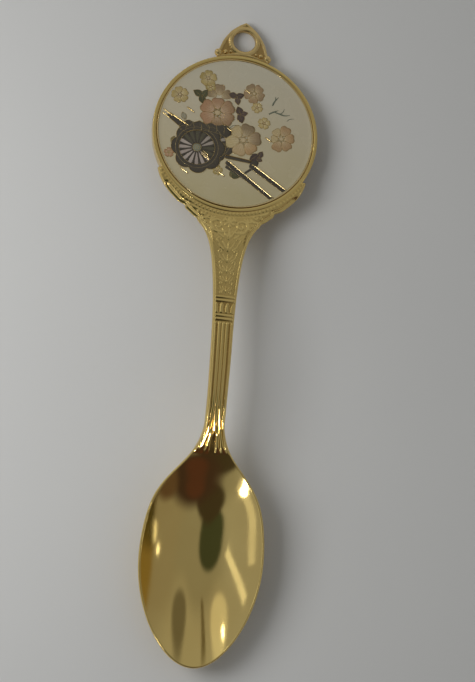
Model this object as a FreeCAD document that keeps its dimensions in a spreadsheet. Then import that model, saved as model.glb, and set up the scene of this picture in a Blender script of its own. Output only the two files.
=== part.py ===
import FreeCAD, Part
import Sketcher
import math
import os

# ---------------------------------------------------------------------------
# Souvenir spoon of demitasse size, gold plated, with an enamelled medallion.
#
# Frame: millimetres. +X across, +Y from the bowl's tip to the hanging eye,
# +Z up out of the bowl. The origin is the middle of the footprint, on the
# table: the belly of the bowl and the far edge of the head touch Z = 0.
# "st" below is the station along the spoon, measured from the bowl's tip.
# ---------------------------------------------------------------------------

V = FreeCAD.Vector
doc = FreeCAD.newDocument("souvenir_spoon")
sheet = doc.addObject("Spreadsheet::Sheet", "dims")

DIMS = [
    ("length_all", 114.0, "tip of the bowl to the top of the hanging eye"),
    ("bowl_width", 21.26, "widest point of the bowl"),
    ("bowl_depth", 5.70, "rim to the inside of the bowl at its widest"),
    ("bowl_gauge", 1.00, "metal thickness of the bowl"),
    ("neck_gauge", 2.30, "metal thickness at the neck"),
    ("stem_gauge", 1.85, "metal thickness of the stem"),
    ("shoulder_gauge", 1.60, "metal thickness of the shoulder"),
    ("sheet_end", 92.25, "station where the shoulder ends inside the head"),
    ("prism_low", -3.0, "start of the outline prism below the table"),
    ("prism_high", 18.0, "height of the outline prism"),
    ("head_station", 92.55, "station of the middle of the head's back"),
    ("head_rise", 1.715, "height of the middle of the head's back"),
    ("belly_flat", 0.12, "depth of the flat worn on the belly of the bowl"),
    ("head_tilt", 6.84, "degrees, head slopes down to the hanging eye"),
    ("head_radius", 14.70, "outside of the bezel wall"),
    ("head_height", 2.30, "back of the head to the top of the bezel wall"),
    ("seat_radius", 14.05, "inside of the bezel wall"),
    ("seat_floor", 1.00, "thickness of the head's back plate"),
    ("glue_radius", 13.85, "adhesive disc"),
    ("glue_gauge", 0.10, "adhesive thickness"),
    ("pan_radius", 13.92, "outside of the medallion pan"),
    ("pan_base", 0.35, "pan base thickness"),
    ("pan_wall", 0.27, "pan lip width"),
    ("pan_height", 1.18, "pan height over all"),
    ("ground_gauge", 0.72, "enamel ground thickness"),
    ("cell_gauge", 0.09, "height of the coloured enamel on the ground"),
    ("wire_gauge", 0.12, "height of the gold wires on the ground"),
    ("wire_width", 0.13, "width of the gold wires"),
    ("lug_gauge", 1.10, "thickness of the hanging lug"),
    ("lug_base", 1.05, "height of the lug's back above the head's back"),
    ("lug_foot_radius", 14.80, "concave foot of the lug, round the head"),
    ("lug_tip", 21.350, "top of the lug from the middle of the head"),
    ("lug_turn", 1.7, "degrees the soldered lug sits clockwise of the handle's line"),
    ("eye_offset", 17.72, "eye centre from the middle of the head"),
    ("eye_radius", 2.00, "hanging eye"),
    ("wheel_radius", 3.65, "cart wheel"),
    ("wheel_felloe", 0.62, "width of the wheel's rim"),
    ("wheel_hub", 0.80, "hub radius"),
    ("spoke_width", 0.30, "spoke"),
    ("spoke_count", 14, "spokes of the front wheel"),
    ("wheel_x", -6.42, "front wheel centre"),
    ("wheel_v", -3.50, "front wheel centre"),
]
for row, (name, value, note) in enumerate(DIMS, start=1):
    sheet.set("A%d" % row, name)
    sheet.set("B%d" % row, repr(value))
    sheet.set("C%d" % row, note)
    sheet.setAlias("B%d" % row, name)
doc.recompute()


def dim(name):
    return float(sheet.get(name))


# --------------------------------------------------------------- curves
# Square of the half width of the outline at every millimetre of station, for
# the design's 21.26 mm bowl: egg-shaped pointed bowl, narrow neck, slim stem
# and the shoulder that flares into two wings round the head.
HALF_SQ = [
    0.000, 9.917, 19.644, 29.151, 38.400, 47.347, 55.940, 64.126, 71.849,
    79.052, 85.681, 91.681, 97.006, 101.612, 105.464, 108.537, 110.816,
    112.297, 112.992, 112.928, 112.148, 110.713, 108.691, 106.129, 103.027,
    99.309, 94.803, 89.262, 82.454, 74.257, 64.748, 54.296, 43.536, 33.235,
    24.129, 16.820, 11.479, 7.910, 5.685, 4.261, 3.403, 3.001, 3.007, 2.997,
    2.969, 2.976, 3.007, 3.052, 3.103, 3.155, 3.202, 3.241, 3.276, 3.309,
    3.343, 3.380, 3.423, 3.475, 3.542, 3.638, 3.772, 3.937, 4.127, 4.350,
    4.619, 4.942, 5.331, 5.803, 6.376, 7.088, 8.010, 9.231, 10.856, 13.064,
    16.222, 21.073, 28.777, 40.640, 57.268, 77.374, 98.857, 120.022, 139.279,
    154.874, 166.109, 173.594, 178.714, 182.948, 187.037, 191.176, 195.326,
    199.279, 202.689,
]


def spline_second(xs, ys):
    """Second derivatives of the natural cubic spline through the points."""
    n = len(xs)
    m = [0.0] * n
    u = [0.0] * n
    for i in range(1, n - 1):
        sig = (xs[i] - xs[i - 1]) / (xs[i + 1] - xs[i - 1])
        p = sig * m[i - 1] + 2.0
        m[i] = (sig - 1.0) / p
        d = (ys[i + 1] - ys[i]) / (xs[i + 1] - xs[i]) - (ys[i] - ys[i - 1]) / (xs[i] - xs[i - 1])
        u[i] = (6.0 * d / (xs[i + 1] - xs[i - 1]) - sig * u[i - 1]) / p
    m[n - 1] = 0.0
    for k in range(n - 2, -1, -1):
        m[k] = m[k] * m[k + 1] + u[k]
    return m


class Curve:
    """Natural cubic spline, straight beyond its ends."""

    def __init__(self, points):
        self.xs = [p[0] for p in points]
        self.ys = [p[1] for p in points]
        self.m = spline_second(self.xs, self.ys)

    def seg(self, i, x):
        xs, ys, m = self.xs, self.ys, self.m
        step = xs[i + 1] - xs[i]
        a = (xs[i + 1] - x) / step
        b = (x - xs[i]) / step
        return a * ys[i] + b * ys[i + 1] + ((a ** 3 - a) * m[i] + (b ** 3 - b) * m[i + 1]) * step * step / 6.0

    def __call__(self, x):
        xs = self.xs
        e = 1e-4
        if x < xs[0]:
            slope = (self.seg(0, xs[0] + e) - self.ys[0]) / e
            return self.ys[0] + slope * (x - xs[0])
        if x > xs[-1]:
            slope = (self.ys[-1] - self.seg(len(xs) - 2, xs[-1] - e)) / e
            return self.ys[-1] + slope * (x - xs[-1])
        lo, hi = 0, len(xs) - 1
        while hi - lo > 1:
            mid = (lo + hi) // 2
            if xs[mid] > x:
                hi = mid
            else:
                lo = mid
        return self.seg(lo, x)


width_scale = (dim("bowl_width") / 21.26) ** 2
half_sq = Curve([(i * 1.0, w * width_scale) for i, w in enumerate(HALF_SQ)])

theta = math.radians(dim("head_tilt"))
ct, st_ = math.cos(theta), math.sin(theta)


def head_top(st, n):
    """Height of a plane of the head, n above its back, at a station."""
    v = (st - dim("head_station") - n * st_) / ct
    return dim("head_rise") - v * st_ + n * ct


shoulder_top = dim("head_height") - 0.12
# height of the outline edge of the top face
edge = Curve([
    (0, 5.25), (6, 5.62), (12, 6.02), (18, 6.38), (24, 6.72), (30, 7.18), (34, 7.72),
    (37, 8.38), (40, 9.12), (43, 9.66), (46, 9.86), (50, 9.83), (55, 9.45), (60, 8.86),
    (65, 8.16), (70, 7.42), (74, 6.80), (77, head_top(77, shoulder_top) + 0.02),
    (80, head_top(80, shoulder_top)), (86, head_top(86, shoulder_top)),
    (93, head_top(93, shoulder_top)),
])
# curvature of the cross-section: dished in the bowl, crowned along the stem
hollow = 2.0 * dim("bowl_depth") / 113.0
dish = Curve([
    (-3, hollow), (0, hollow), (10, hollow), (20, hollow), (28, hollow * 0.99), (33, hollow * 0.86), (36, hollow * 0.50),
    (38, hollow * 0.08), (40, -0.055), (43, -0.12), (50, -0.12), (58, -0.11), (64, -0.08),
    (69, -0.036), (73, -0.012), (77, -0.002), (80, 0.0), (93, 0.0),
])
gauge = Curve([
    (-3, dim("bowl_gauge")), (0, dim("bowl_gauge")), (24, dim("bowl_gauge")), (30, dim("bowl_gauge") * 1.10),
    (34, dim("bowl_gauge") * 1.45), (38, dim("neck_gauge") * 0.93), (41, dim("neck_gauge")),
    (46, dim("neck_gauge") * 0.95), (52, dim("stem_gauge") * 1.06), (58, dim("stem_gauge")), (66, dim("stem_gauge") * 0.95),
    (74, dim("shoulder_gauge") * 1.03), (80, dim("shoulder_gauge")), (93, dim("shoulder_gauge")),
])


def top_z(x, st):
    return edge(st) + dish(st) * (x * x - half_sq(st)) / 2.0


def under_z(x, st):
    e = 0.05
    gx = (top_z(x + e, st) - top_z(x - e, st)) / (2 * e)
    gs = (top_z(x, st + e) - top_z(x, st - e)) / (2 * e)
    # the belly of the section is rounder than its face along the stem
    w2 = max(half_sq(st), 1.0)
    a = min(max((st - 35.0) / 6.0, 0.0), 1.0) * min(max((76.0 - st) / 8.0, 0.0), 1.0)
    crown = 0.55 * a * min(x * x / w2, 2.2)
    return top_z(x, st) - gauge(st) * math.sqrt(1 + gx * gx + gs * gs) + crown


# the belly of the bowl stands on the table
low = min(under_z(0.0, i * 0.1) for i in range(100, 300))
print("belly height before levelling %.4f" % low)
ORIG_Y = dim("length_all") / 2.0


def lift(st):
    """Levelling of the bowl, faded out before the stem."""
    a = min(max((36.0 - st) / 16.0, 0.0), 1.0)
    return (-low - dim("belly_flat")) * a * a * (3 - 2 * a)


def height_field(fn, xlo, xhi, nx, slo, shi, ns, extra):
    rows = []
    for i in range(nx + 1):
        x = xlo + (xhi - xlo) * i / nx
        rows.append([V(x, slo + (shi - slo) * j / ns - ORIG_Y, fn(x, slo + (shi - slo) * j / ns) + extra(slo + (shi - slo) * j / ns))
                     for j in range(ns + 1)])
    surf = Part.BSplineSurface()
    surf.interpolate(rows)
    return surf.toShape()


def feature(name, shape, label=None):
    o = doc.addObject("Part::Feature", name)
    o.Shape = shape
    o.Label = label or name
    return o


def bind(o, **kw):
    for prop, expr in kw.items():
        o.setExpression(prop.replace("__", "."), expr)


# --------------------------------------------------------------- spoon blank
END = dim("sheet_end")
N_OUT = 120
right = []
for i in range(N_OUT + 1):
    f = i / N_OUT
    st = END * f * f * (0.35 + 0.65 * f) if f < 1 else END
    right.append((math.sqrt(max(half_sq(st), 0.0)), st))
outline_pts = [V(-x, s - ORIG_Y, 0) for x, s in reversed(right)] + [V(x, s - ORIG_Y, 0) for x, s in right[1:]]
curve = Part.BSplineCurve()
curve.interpolate(outline_pts)

outline = doc.addObject("Sketcher::SketchObject", "blank_outline")
outline.addGeometry(curve, False)
outline.addGeometry(Part.LineSegment(outline_pts[-1], outline_pts[0]), False)
bind(outline, Placement__Base__z="dims.prism_low")
prism = doc.addObject("Part::Extrusion", "blank_prism")
prism.Base = outline
prism.DirMode = "Custom"
prism.Dir = V(0, 0, 1)
prism.Solid = True
bind(prism, LengthFwd="dims.prism_high")

top_face = height_field(top_z, -19.0, 19.0, 38, -2.0, END + 1.0, 95, lift)
under_face = height_field(under_z, -20.0, 20.0, 40, -3.0, END + 2.0, 97, lift)
below_top = feature("metal_below_top_face", top_face.extrude(V(0, 0, -40)))
below_under = feature("space_below_belly", under_face.extrude(V(0, 0, -60)))

topped = doc.addObject("Part::Common", "blank_topped")
topped.Base, topped.Tool = prism, below_top
struck = doc.addObject("Part::Cut", "blank_struck")
struck.Base, struck.Tool = topped, below_under


def head_placement(n=0.0):
    return FreeCAD.Placement(
        V(0, dim("head_station") - ORIG_Y + n * st_, dim("head_rise") + n * ct),
        FreeCAD.Rotation(V(1, 0, 0), -dim("head_tilt")),
    )


def head_bind(o, n_expr):
    """Place an object in the head's tilted frame, n_expr above the back."""
    o.setExpression("Placement.Base.y", "dims.head_station - dims.length_all / 2 + (%s) * sin(dims.head_tilt * 1 deg)" % n_expr)
    o.setExpression("Placement.Base.z", "dims.head_rise + (%s) * cos(dims.head_tilt * 1 deg)" % n_expr)


def turn_lug(o):
    """The lug and its seam were soldered a little clockwise round the rim."""
    pl = o.Placement
    o.Placement = FreeCAD.Placement(pl.Base, pl.Rotation.multiply(FreeCAD.Rotation(V(0, 0, 1), -dim("lug_turn"))))


cup = doc.addObject("Part::Cylinder", "head_disc")
cup.Placement = head_placement(0)
head_bind(cup, "0")
bind(cup, Radius="dims.head_radius", Height="dims.head_height")
seat = doc.addObject("Part::Cylinder", "head_seat")
seat.Placement = head_placement(dim("seat_floor"))
head_bind(seat, "dims.seat_floor")
bind(seat, Radius="dims.seat_radius", Height="dims.head_height * 2")
fused = doc.addObject("Part::MultiFuse", "blank_with_head")
fused.Shapes = [struck, cup]
seated = doc.addObject("Part::Cut", "blank_with_seat")
seated.Base, seated.Tool = fused, seat
# the belly of the bowl and the far edge of the head are worn level where the
# spoon stands on the table
table = doc.addObject("Part::Box", "table_level")
table.Placement.Base = V(-40, -80, -20)
bind(table, Length="80", Width="160", Height="20")
blank = doc.addObject("Part::Cut", "spoon_blank")
blank.Base, blank.Tool = seated, table
blank.Label = "spoon_blank"


# --------------------------------------------------------------- helpers for bodies
def plane_of(body, role):
    for f in body.Origin.OriginFeatures:
        if f.Role == role:
            return f
    raise RuntimeError("no plane " + role)


def new_sketch(body, name, role="XY_Plane"):
    sk = body.newObject("Sketcher::SketchObject", name)
    sk.AttachmentSupport = (plane_of(body, role), [""])
    sk.MapMode = "FlatFace"
    return sk


def radius_sketch(body, name, expr):
    sk = new_sketch(body, name)
    g = sk.addGeometry(Part.Circle(V(0, 0, 0), V(0, 0, 1), 1.0), False)
    i = sk.addConstraint(Sketcher.Constraint("Radius", g, 1.0))
    sk.renameConstraint(i, "radius_c")
    sk.setExpression("Constraints.radius_c", expr)
    sk.addConstraint(Sketcher.Constraint("Coincident", g, 3, -1, 1))
    return sk


# --------------------------------------------------------------- hanging lug
body = doc.addObject("PartDesign::Body", "hanging_loop")
body.Label = "hanging_loop"
R = dim("lug_foot_radius")
half = [(4.50, 15.25), (4.18, 16.25), (3.78, 17.40), (3.12, 18.55), (2.40, 19.52), (1.34, 20.48), (0.42, 21.12)]
tip = dim("lug_tip")
a0 = math.asin(4.70 / R)
foot_r = V(R * math.sin(a0), R * math.cos(a0), 0)
foot_l = V(-foot_r.x, foot_r.y, 0)
pts = [foot_r] + [V(x, v, 0) for x, v in half] + [V(0, tip, 0)]
pts = pts + [V(-p.x, p.y, 0) for p in reversed(pts[:-1])]
side = Part.BSplineCurve()
side.interpolate(pts)
sk = new_sketch(body, "lug_outline")
sk.addGeometry(side, False)
sk.addGeometry(Part.Arc(foot_l, V(0, R, 0), foot_r), False)
pad = body.newObject("PartDesign::Pad", "lug_pad")
pad.Profile = sk
pad.setExpression("Length", "dims.lug_gauge")
doc.recompute()
eye = new_sketch(body, "eye_outline")
g = eye.addGeometry(Part.Circle(V(0, dim("eye_offset"), 0), V(0, 0, 1), dim("eye_radius")), False)
eye.addConstraint(Sketcher.Constraint("PointOnObject", g, 3, -2))
i = eye.addConstraint(Sketcher.Constraint("Radius", g, dim("eye_radius")))
eye.renameConstraint(i, "radius_c")
eye.setExpression("Constraints.radius_c", "dims.eye_radius")
i = eye.addConstraint(Sketcher.Constraint("DistanceY", -1, 1, g, 3, dim("eye_offset")))
eye.renameConstraint(i, "offset_c")
eye.setExpression("Constraints.offset_c", "dims.eye_offset")
pocket = body.newObject("PartDesign::Pocket", "eye_pocket")
pocket.Profile = eye
pocket.Type = 0
pocket.Midplane = True
pocket.setExpression("Length", "dims.lug_gauge * 4")
body.Tip = pocket
body.Placement = head_placement(dim("lug_base"))
turn_lug(body)
head_bind(body, "dims.lug_base")

# solder seam: a thin arc of metal between the bezel wall and the lug's foot
body = doc.addObject("PartDesign::Body", "loop_solder")
body.Label = "loop_solder"
sk = new_sketch(body, "seam_outline")
r0, r1 = dim("head_radius"), dim("lug_foot_radius")
a1 = a0 * 0.97
p = [V(-r0 * math.sin(a1), r0 * math.cos(a1), 0), V(r0 * math.sin(a1), r0 * math.cos(a1), 0),
     V(r1 * math.sin(a1), r1 * math.cos(a1), 0), V(-r1 * math.sin(a1), r1 * math.cos(a1), 0)]
sk.addGeometry(Part.Arc(p[0], V(0, r0, 0), p[1]), False)
sk.addGeometry(Part.LineSegment(p[1], p[2]), False)
sk.addGeometry(Part.Arc(p[2], V(0, r1, 0), p[3]), False)
sk.addGeometry(Part.LineSegment(p[3], p[0]), False)
pad = body.newObject("PartDesign::Pad", "seam_pad")
pad.Profile = sk
pad.setExpression("Length", "dims.lug_gauge - 0.06")
body.Placement = head_placement(dim("lug_base") + 0.03)
turn_lug(body)
head_bind(body, "dims.lug_base + 0.03")

# --------------------------------------------------------------- medallion
body = doc.addObject("PartDesign::Body", "medallion_adhesive")
body.Label = "medallion_adhesive"
sk = radius_sketch(body, "glue_outline", "dims.glue_radius")
pad = body.newObject("PartDesign::Pad", "glue_pad")
pad.Profile = sk
pad.setExpression("Length", "dims.glue_gauge")
body.Placement = head_placement(dim("seat_floor"))
head_bind(body, "dims.seat_floor")

# the pan is turned: one L-shaped section revolved about the medallion's axis
body = doc.addObject("PartDesign::Body", "medallion_pan")
body.Label = "medallion_pan"
sk = new_sketch(body, "pan_section", "XZ_Plane")
ro, wall, base, high = dim("pan_radius"), dim("pan_wall"), dim("pan_base"), dim("pan_height")
prof = [(0, 0), (ro, 0), (ro, high), (ro - wall, high), (ro - wall, base), (0, base)]
for i in range(6):
    x0, y0 = prof[i]
    x1, y1 = prof[(i + 1) % 6]
    sk.addGeometry(Part.LineSegment(V(x0, y0, 0), V(x1, y1, 0)), False)
for i in range(6):
    sk.addConstraint(Sketcher.Constraint("Coincident", i, 2, (i + 1) % 6, 1))
sk.addConstraint(Sketcher.Constraint("Coincident", 0, 1, -1, 1))
for i in (0, 2, 4):
    sk.addConstraint(Sketcher.Constraint("Horizontal", i))
for i in (1, 3, 5):
    sk.addConstraint(Sketcher.Constraint("Vertical", i))
for nm, con, expr in (
    ("outer_c", Sketcher.Constraint("DistanceX", 0, 1, 0, 2, ro), "dims.pan_radius"),
    ("high_c", Sketcher.Constraint("DistanceY", 1, 1, 1, 2, high), "dims.pan_height"),
    ("wall_c", Sketcher.Constraint("DistanceX", 2, 2, 2, 1, wall), "dims.pan_wall"),
    ("base_c", Sketcher.Constraint("DistanceY", 5, 2, 5, 1, base), "dims.pan_base"),
):
    i = sk.addConstraint(con)
    sk.renameConstraint(i, nm)
    sk.setExpression("Constraints." + nm, expr)
rev = body.newObject("PartDesign::Revolution", "pan_revolution")
rev.Profile = sk
rev.ReferenceAxis = (sk, ["V_Axis"])
rev.Angle = 360.0
body.Placement = head_placement(dim("seat_floor") + dim("glue_gauge"))
head_bind(body, "dims.seat_floor + dims.glue_gauge")

ground_base = dim("seat_floor") + dim("glue_gauge") + dim("pan_base")
ground = doc.addObject("Part::Cylinder", "enamel_ground")
ground.Label = "enamel_ground"
ground.Placement = head_placement(ground_base)
head_bind(ground, "dims.seat_floor + dims.glue_gauge + dims.pan_base")
bind(ground, Radius="dims.pan_radius - dims.pan_wall", Height="dims.ground_gauge")
art_base = ground_base + dim("ground_gauge")
ART_N = "dims.seat_floor + dims.glue_gauge + dims.pan_base + dims.ground_gauge"

CELL, WIRE, WW = dim("cell_gauge"), dim("wire_gauge"), dim("wire_width")


# --------------------------------------------------------------- enamel cells
def prism_of(points, h, smooth=False):
    vs = [V(x, y, 0) for x, y in points]
    if smooth:
        c = Part.BSplineCurve()
        c.interpolate(vs, True)
        wire = Part.Wire([c.toShape()])
    else:
        wire = Part.makePolygon(vs + [vs[0]])
    return Part.Face(wire).extrude(V(0, 0, h))


def blossom(cx, cy, r, petals=5, turn=0.0, h=CELL):
    """Five rounded petals about a heart."""
    pts = []
    n = petals * 8
    for i in range(n):
        a = 2 * math.pi * i / n
        rr = r * (0.72 + 0.28 * abs(math.cos(petals * a / 2.0)) ** 0.8)
        pts.append((cx + rr * math.cos(a + turn), cy + rr * math.sin(a + turn)))
    return prism_of(pts, h, True)


def bar(p, q, w, h=CELL):
    dx, dy = q[0] - p[0], q[1] - p[1]
    d = math.hypot(dx, dy)
    nx, ny = -dy / d * w / 2, dx / d * w / 2
    return prism_of([(p[0] + nx, p[1] + ny), (q[0] + nx, q[1] + ny), (q[0] - nx, q[1] - ny), (p[0] - nx, p[1] - ny)], h)


def leaf(cx, cy, length, width, turn, h=CELL):
    pts = []
    for i in range(12):
        a = 2 * math.pi * i / 12
        x = length / 2 * math.cos(a)
        y = width / 2 * math.sin(a) * (1 - 0.35 * math.cos(a))
        pts.append((cx + x * math.cos(turn) - y * math.sin(turn), cy + x * math.sin(turn) + y * math.cos(turn)))
    return prism_of(pts, h, True)


def disc(cx, cy, r, h):
    return Part.makeCylinder(r, h, V(cx, cy, 0))


def ring(cx, cy, r, w, h):
    return disc(cx, cy, r, h).cut(disc(cx, cy, r - w, h))


# front wheel: felloe, hub and spokes on one body with a polar pattern
wx, wy, wr = dim("wheel_x"), dim("wheel_v"), dim("wheel_radius")
body = doc.addObject("PartDesign::Body", "cart_wheel_front")
body.Label = "cart_wheel_front"
sk = new_sketch(body, "felloe_outline")
c1 = sk.addGeometry(Part.Circle(V(0, 0, 0), V(0, 0, 1), wr), False)
c2 = sk.addGeometry(Part.Circle(V(0, 0, 0), V(0, 0, 1), wr - 0.62), False)
for c in (c1, c2):
    sk.addConstraint(Sketcher.Constraint("Coincident", c, 3, -1, 1))
for nm, c, expr in (("outer_c", c1, "dims.wheel_radius"), ("inner_c", c2, "dims.wheel_radius - dims.wheel_felloe")):
    i = sk.addConstraint(Sketcher.Constraint("Radius", c, 1.0))
    sk.renameConstraint(i, nm)
    sk.setExpression("Constraints." + nm, expr)
pad = body.newObject("PartDesign::Pad", "felloe_pad")
pad.Profile = sk
pad.setExpression("Length", "dims.cell_gauge")
doc.recompute()
sk = new_sketch(body, "spoke_outline")
sw = dim("spoke_width") / 2
rin = wr - dim("wheel_felloe") + 0.2
for p0, p1 in (((-sw, 0), (sw, 0)), ((sw, 0), (sw, rin)), ((sw, rin), (-sw, rin)), ((-sw, rin), (-sw, 0))):
    sk.addGeometry(Part.LineSegment(V(p0[0], p0[1], 0), V(p1[0], p1[1], 0)), False)
for i in range(4):
    sk.addConstraint(Sketcher.Constraint("Coincident", i, 2, (i + 1) % 4, 1))
sk.addConstraint(Sketcher.Constraint("Horizontal", 0))
sk.addConstraint(Sketcher.Constraint("Horizontal", 2))
sk.addConstraint(Sketcher.Constraint("Vertical", 1))
sk.addConstraint(Sketcher.Constraint("Vertical", 3))
sk.addConstraint(Sketcher.Constraint("Symmetric", 0, 1, 0, 2, -1, 1))
i = sk.addConstraint(Sketcher.Constraint("DistanceX", 0, 1, 0, 2, 2 * sw))
sk.renameConstraint(i, "wide_c")
sk.setExpression("Constraints.wide_c", "dims.spoke_width")
i = sk.addConstraint(Sketcher.Constraint("DistanceY", 1, 1, 1, 2, rin))
sk.renameConstraint(i, "long_c")
sk.setExpression("Constraints.long_c", "dims.wheel_radius - dims.wheel_felloe + 0.2")
spoke = body.newObject("PartDesign::Pad", "spoke_pad")
spoke.Profile = sk
spoke.setExpression("Length", "dims.cell_gauge")
doc.recompute()
pat = body.newObject("PartDesign::PolarPattern", "spoke_pattern")
pat.Originals = [spoke]
pat.Axis = (sk, ["N_Axis"])
pat.Angle = 360.0
pat.Occurrences = int(dim("spoke_count"))
pat.setExpression("Occurrences", "dims.spoke_count")
body.Tip = pat
doc.recompute()
sk = radius_sketch(body, "hub_outline", "dims.wheel_hub")
hub = body.newObject("PartDesign::Pad", "hub_pad")
hub.Profile = sk
hub.setExpression("Length", "dims.cell_gauge")
body.Tip = hub
body.Placement = FreeCAD.Placement(
    head_placement(art_base).multVec(V(wx, wy, 0)), FreeCAD.Rotation(V(1, 0, 0), -dim("head_tilt")))
body.setExpression("Placement.Base.x", "dims.wheel_x")
body.setExpression("Placement.Base.y", "dims.head_station - dims.length_all / 2 + (%s) * sin(dims.head_tilt * 1 deg) + dims.wheel_v * cos(dims.head_tilt * 1 deg)" % ART_N)
body.setExpression("Placement.Base.z", "dims.head_rise + (%s) * cos(dims.head_tilt * 1 deg) - dims.wheel_v * sin(dims.head_tilt * 1 deg)" % ART_N)

BIG = 0.5
RX, RV, RR = -4.05, -2.10, 3.05      # rear wheel
front = disc(wx, wy, wr + 0.02, BIG)
rear = disc(RX, RV, RR, BIG)

# gold wires first: everything else is cut round them
wires = [
    bar((3.50, -5.62), (10.1, -9.92), WW, WIRE),
    bar((-1.18, -5.32), (7.95, -11.80), WW, WIRE),
    bar((-12.78, 2.82), (-11.4, 1.91), WW, WIRE),
    bar((-13.04, 2.13), (-11.86, 1.31), WW, WIRE),
    ring(-3.45, 3.35, 0.80, WW, WIRE),
    ring(1.45, -1.25, 0.80, WW, WIRE),
    ring(8.35, -0.02, 0.60, WW, WIRE),
    ring(2.85, 7.75, 0.50, WW, WIRE),
    ring(-5.5, 9.65, 0.40, WW, WIRE),
    ring(-10.36, 5.9, 0.42, WW, WIRE),
]
shafts = [
    bar((3.3, -5.93), (9.9, -10.23), 0.60, CELL),
    bar((-1.35, -5.58), (7.75, -12.05), 0.46, CELL),
    bar((-1.25, -5.95), (1.25, -7.72), 0.90, CELL),
    bar((-0.9, -4.72), (3.0, -5.15), 0.42, CELL),
    bar((-11.9, 1.98), (-8.6, -0.15), 0.85, CELL),
]
bed = [
    prism_of([(-9.5, 0.35), (-8.4, 1.15), (-5.6, 1.30), (-1.9, 1.05), (-0.9, -0.3), (-2.0, -1.6), (-8.9, -0.4)], CELL),
    prism_of([(-7.1, -7.05), (-4.2, -7.0), (-4.5, -8.45), (-6.9, -8.6)], CELL),
]
coral = [blossom(-3.45, 3.35, 3.15, 5, 0.3), blossom(-11.35, -4.7, 0.85, 5, 0.1)]
peach = [blossom(1.45, -1.25, 3.05, 5, 0.9), blossom(8.35, -0.02, 2.55, 5, 0.3)]
yellow = [blossom(-5.5, 9.65, 1.55, 5, 0.2), blossom(-10.36, 5.9, 1.55, 5, 0.7), blossom(2.85, 7.75, 2.0, 5, 0.5), blossom(4.95, 2.35, 1.05, 5, 0.0), leaf(3.6, 5.1, 1.8, 1.3, 0.4)]
green = [leaf(-6.7, 6.45, 2.4, 1.6, 0.3), leaf(0.25, -8.1, 1.9, 1.3, 0.1), leaf(-10.75, -2.9, 1.5, 0.9, 1.0)]
plum = [leaf(-0.3, 6.95, 2.2, 1.2, 0.2), leaf(0.75, 3.55, 2.2, 1.4, -1.2), leaf(3.9, -4.05, 2.0, 1.1, 0.5)]
sprig = [bar((5.76, 4.28), (7.2, 4.95), 0.16), bar((7.15, 4.92), (9.35, 4.45), 0.16), bar((6.28, 5.99), (7.2, 7.6), 0.16), bar((7.9, 4.72), (8.5, 5.5), 0.14)]


def union(shapes):
    out = shapes[0]
    for s in shapes[1:]:
        out = out.fuse(s)
    return out.removeSplitter() if len(shapes) > 1 else out


def solids_over(shape, vmin):
    ss = [s for s in shape.Solids if s.Volume > vmin]
    return ss[0] if len(ss) == 1 else Part.makeCompound(ss)


tools = [front, union(wires)]
# nothing runs into the pan's lip
field = disc(0, 0, dim("pan_radius") - dim("pan_wall") - 0.06, BIG)


def cell_node(name, shapes, h, block=True):
    """Cut the cells round everything laid before them, and keep the pieces."""
    body_shape = union(shapes).common(field)
    for t in tools:
        body_shape = body_shape.cut(t)
    o = feature(name, solids_over(body_shape, 0.004))
    o.Placement = head_placement(art_base)
    head_bind(o, ART_N)
    if block:
        tools.append(union(shapes))
    return o


o = feature("gold_wires", solids_over(union(wires).cut(front).common(field), 0.0005))
o.Placement = head_placement(art_base)
head_bind(o, ART_N)

rear_wheel = ring(RX, RV, RR, 0.6, CELL).fuse(disc(RX, RV, 0.75, CELL))
for i in range(12):
    a = math.pi * i / 6
    rear_wheel = rear_wheel.fuse(bar((RX, RV), (RX + (RR - 0.4) * math.cos(a), RV + (RR - 0.4) * math.sin(a)), 0.28, CELL))
cell_node("cart_shafts", shafts, CELL)
cell_node("cart_wheel_rear", [rear_wheel], CELL, False)
tools.append(rear)
cell_node("blossoms_coral", coral, CELL)
cell_node("blossoms_peach", peach, CELL)
cell_node("blossoms_yellow", yellow, CELL)
cell_node("cart_bed", bed, CELL)
cell_node("leaves_plum", plum, CELL)
cell_node("leaves_green", green, CELL)
cell_node("sprigs", sprig, CELL)

doc.recompute()

# --------------------------------------------------------------- checks and files
NODES = [
    "spoon_blank", "hanging_loop", "loop_solder", "medallion_adhesive", "medallion_pan", "enamel_ground",
    "gold_wires", "cart_wheel_front", "cart_wheel_rear", "cart_shafts", "cart_bed", "blossoms_coral",
    "blossoms_peach", "blossoms_yellow", "leaves_plum", "leaves_green", "sprigs",
]
bad = [(o.Name, o.State) for o in doc.Objects if "Invalid" in o.State or "Error" in o.State]
if bad:
    raise RuntimeError("failed objects: %s" % bad)
os.makedirs("parts", exist_ok=True)
for name in NODES:
    found = [o for o in doc.Objects if o.Label == name]
    if len(found) != 1:
        raise RuntimeError("node %s found %d times" % (name, len(found)))
    s = found[0].Shape
    if s.isNull() or not s.isValid() or not s.Solids:
        raise RuntimeError("node %s has a bad shape" % name)
    b = s.BoundBox
    print("%-20s solids %2d faces %3d volume %9.3f  x %.2f..%.2f y %.2f..%.2f z %.2f..%.2f" % (
        name, len(s.Solids), len(s.Faces), s.Volume, b.XMin, b.XMax, b.YMin, b.YMax, b.ZMin, b.ZMax))
    s.exportStep("parts/%s.step" % name)
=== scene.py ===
import bpy
import bmesh
import math
import numpy as np
from mathutils import Matrix, Vector


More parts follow.
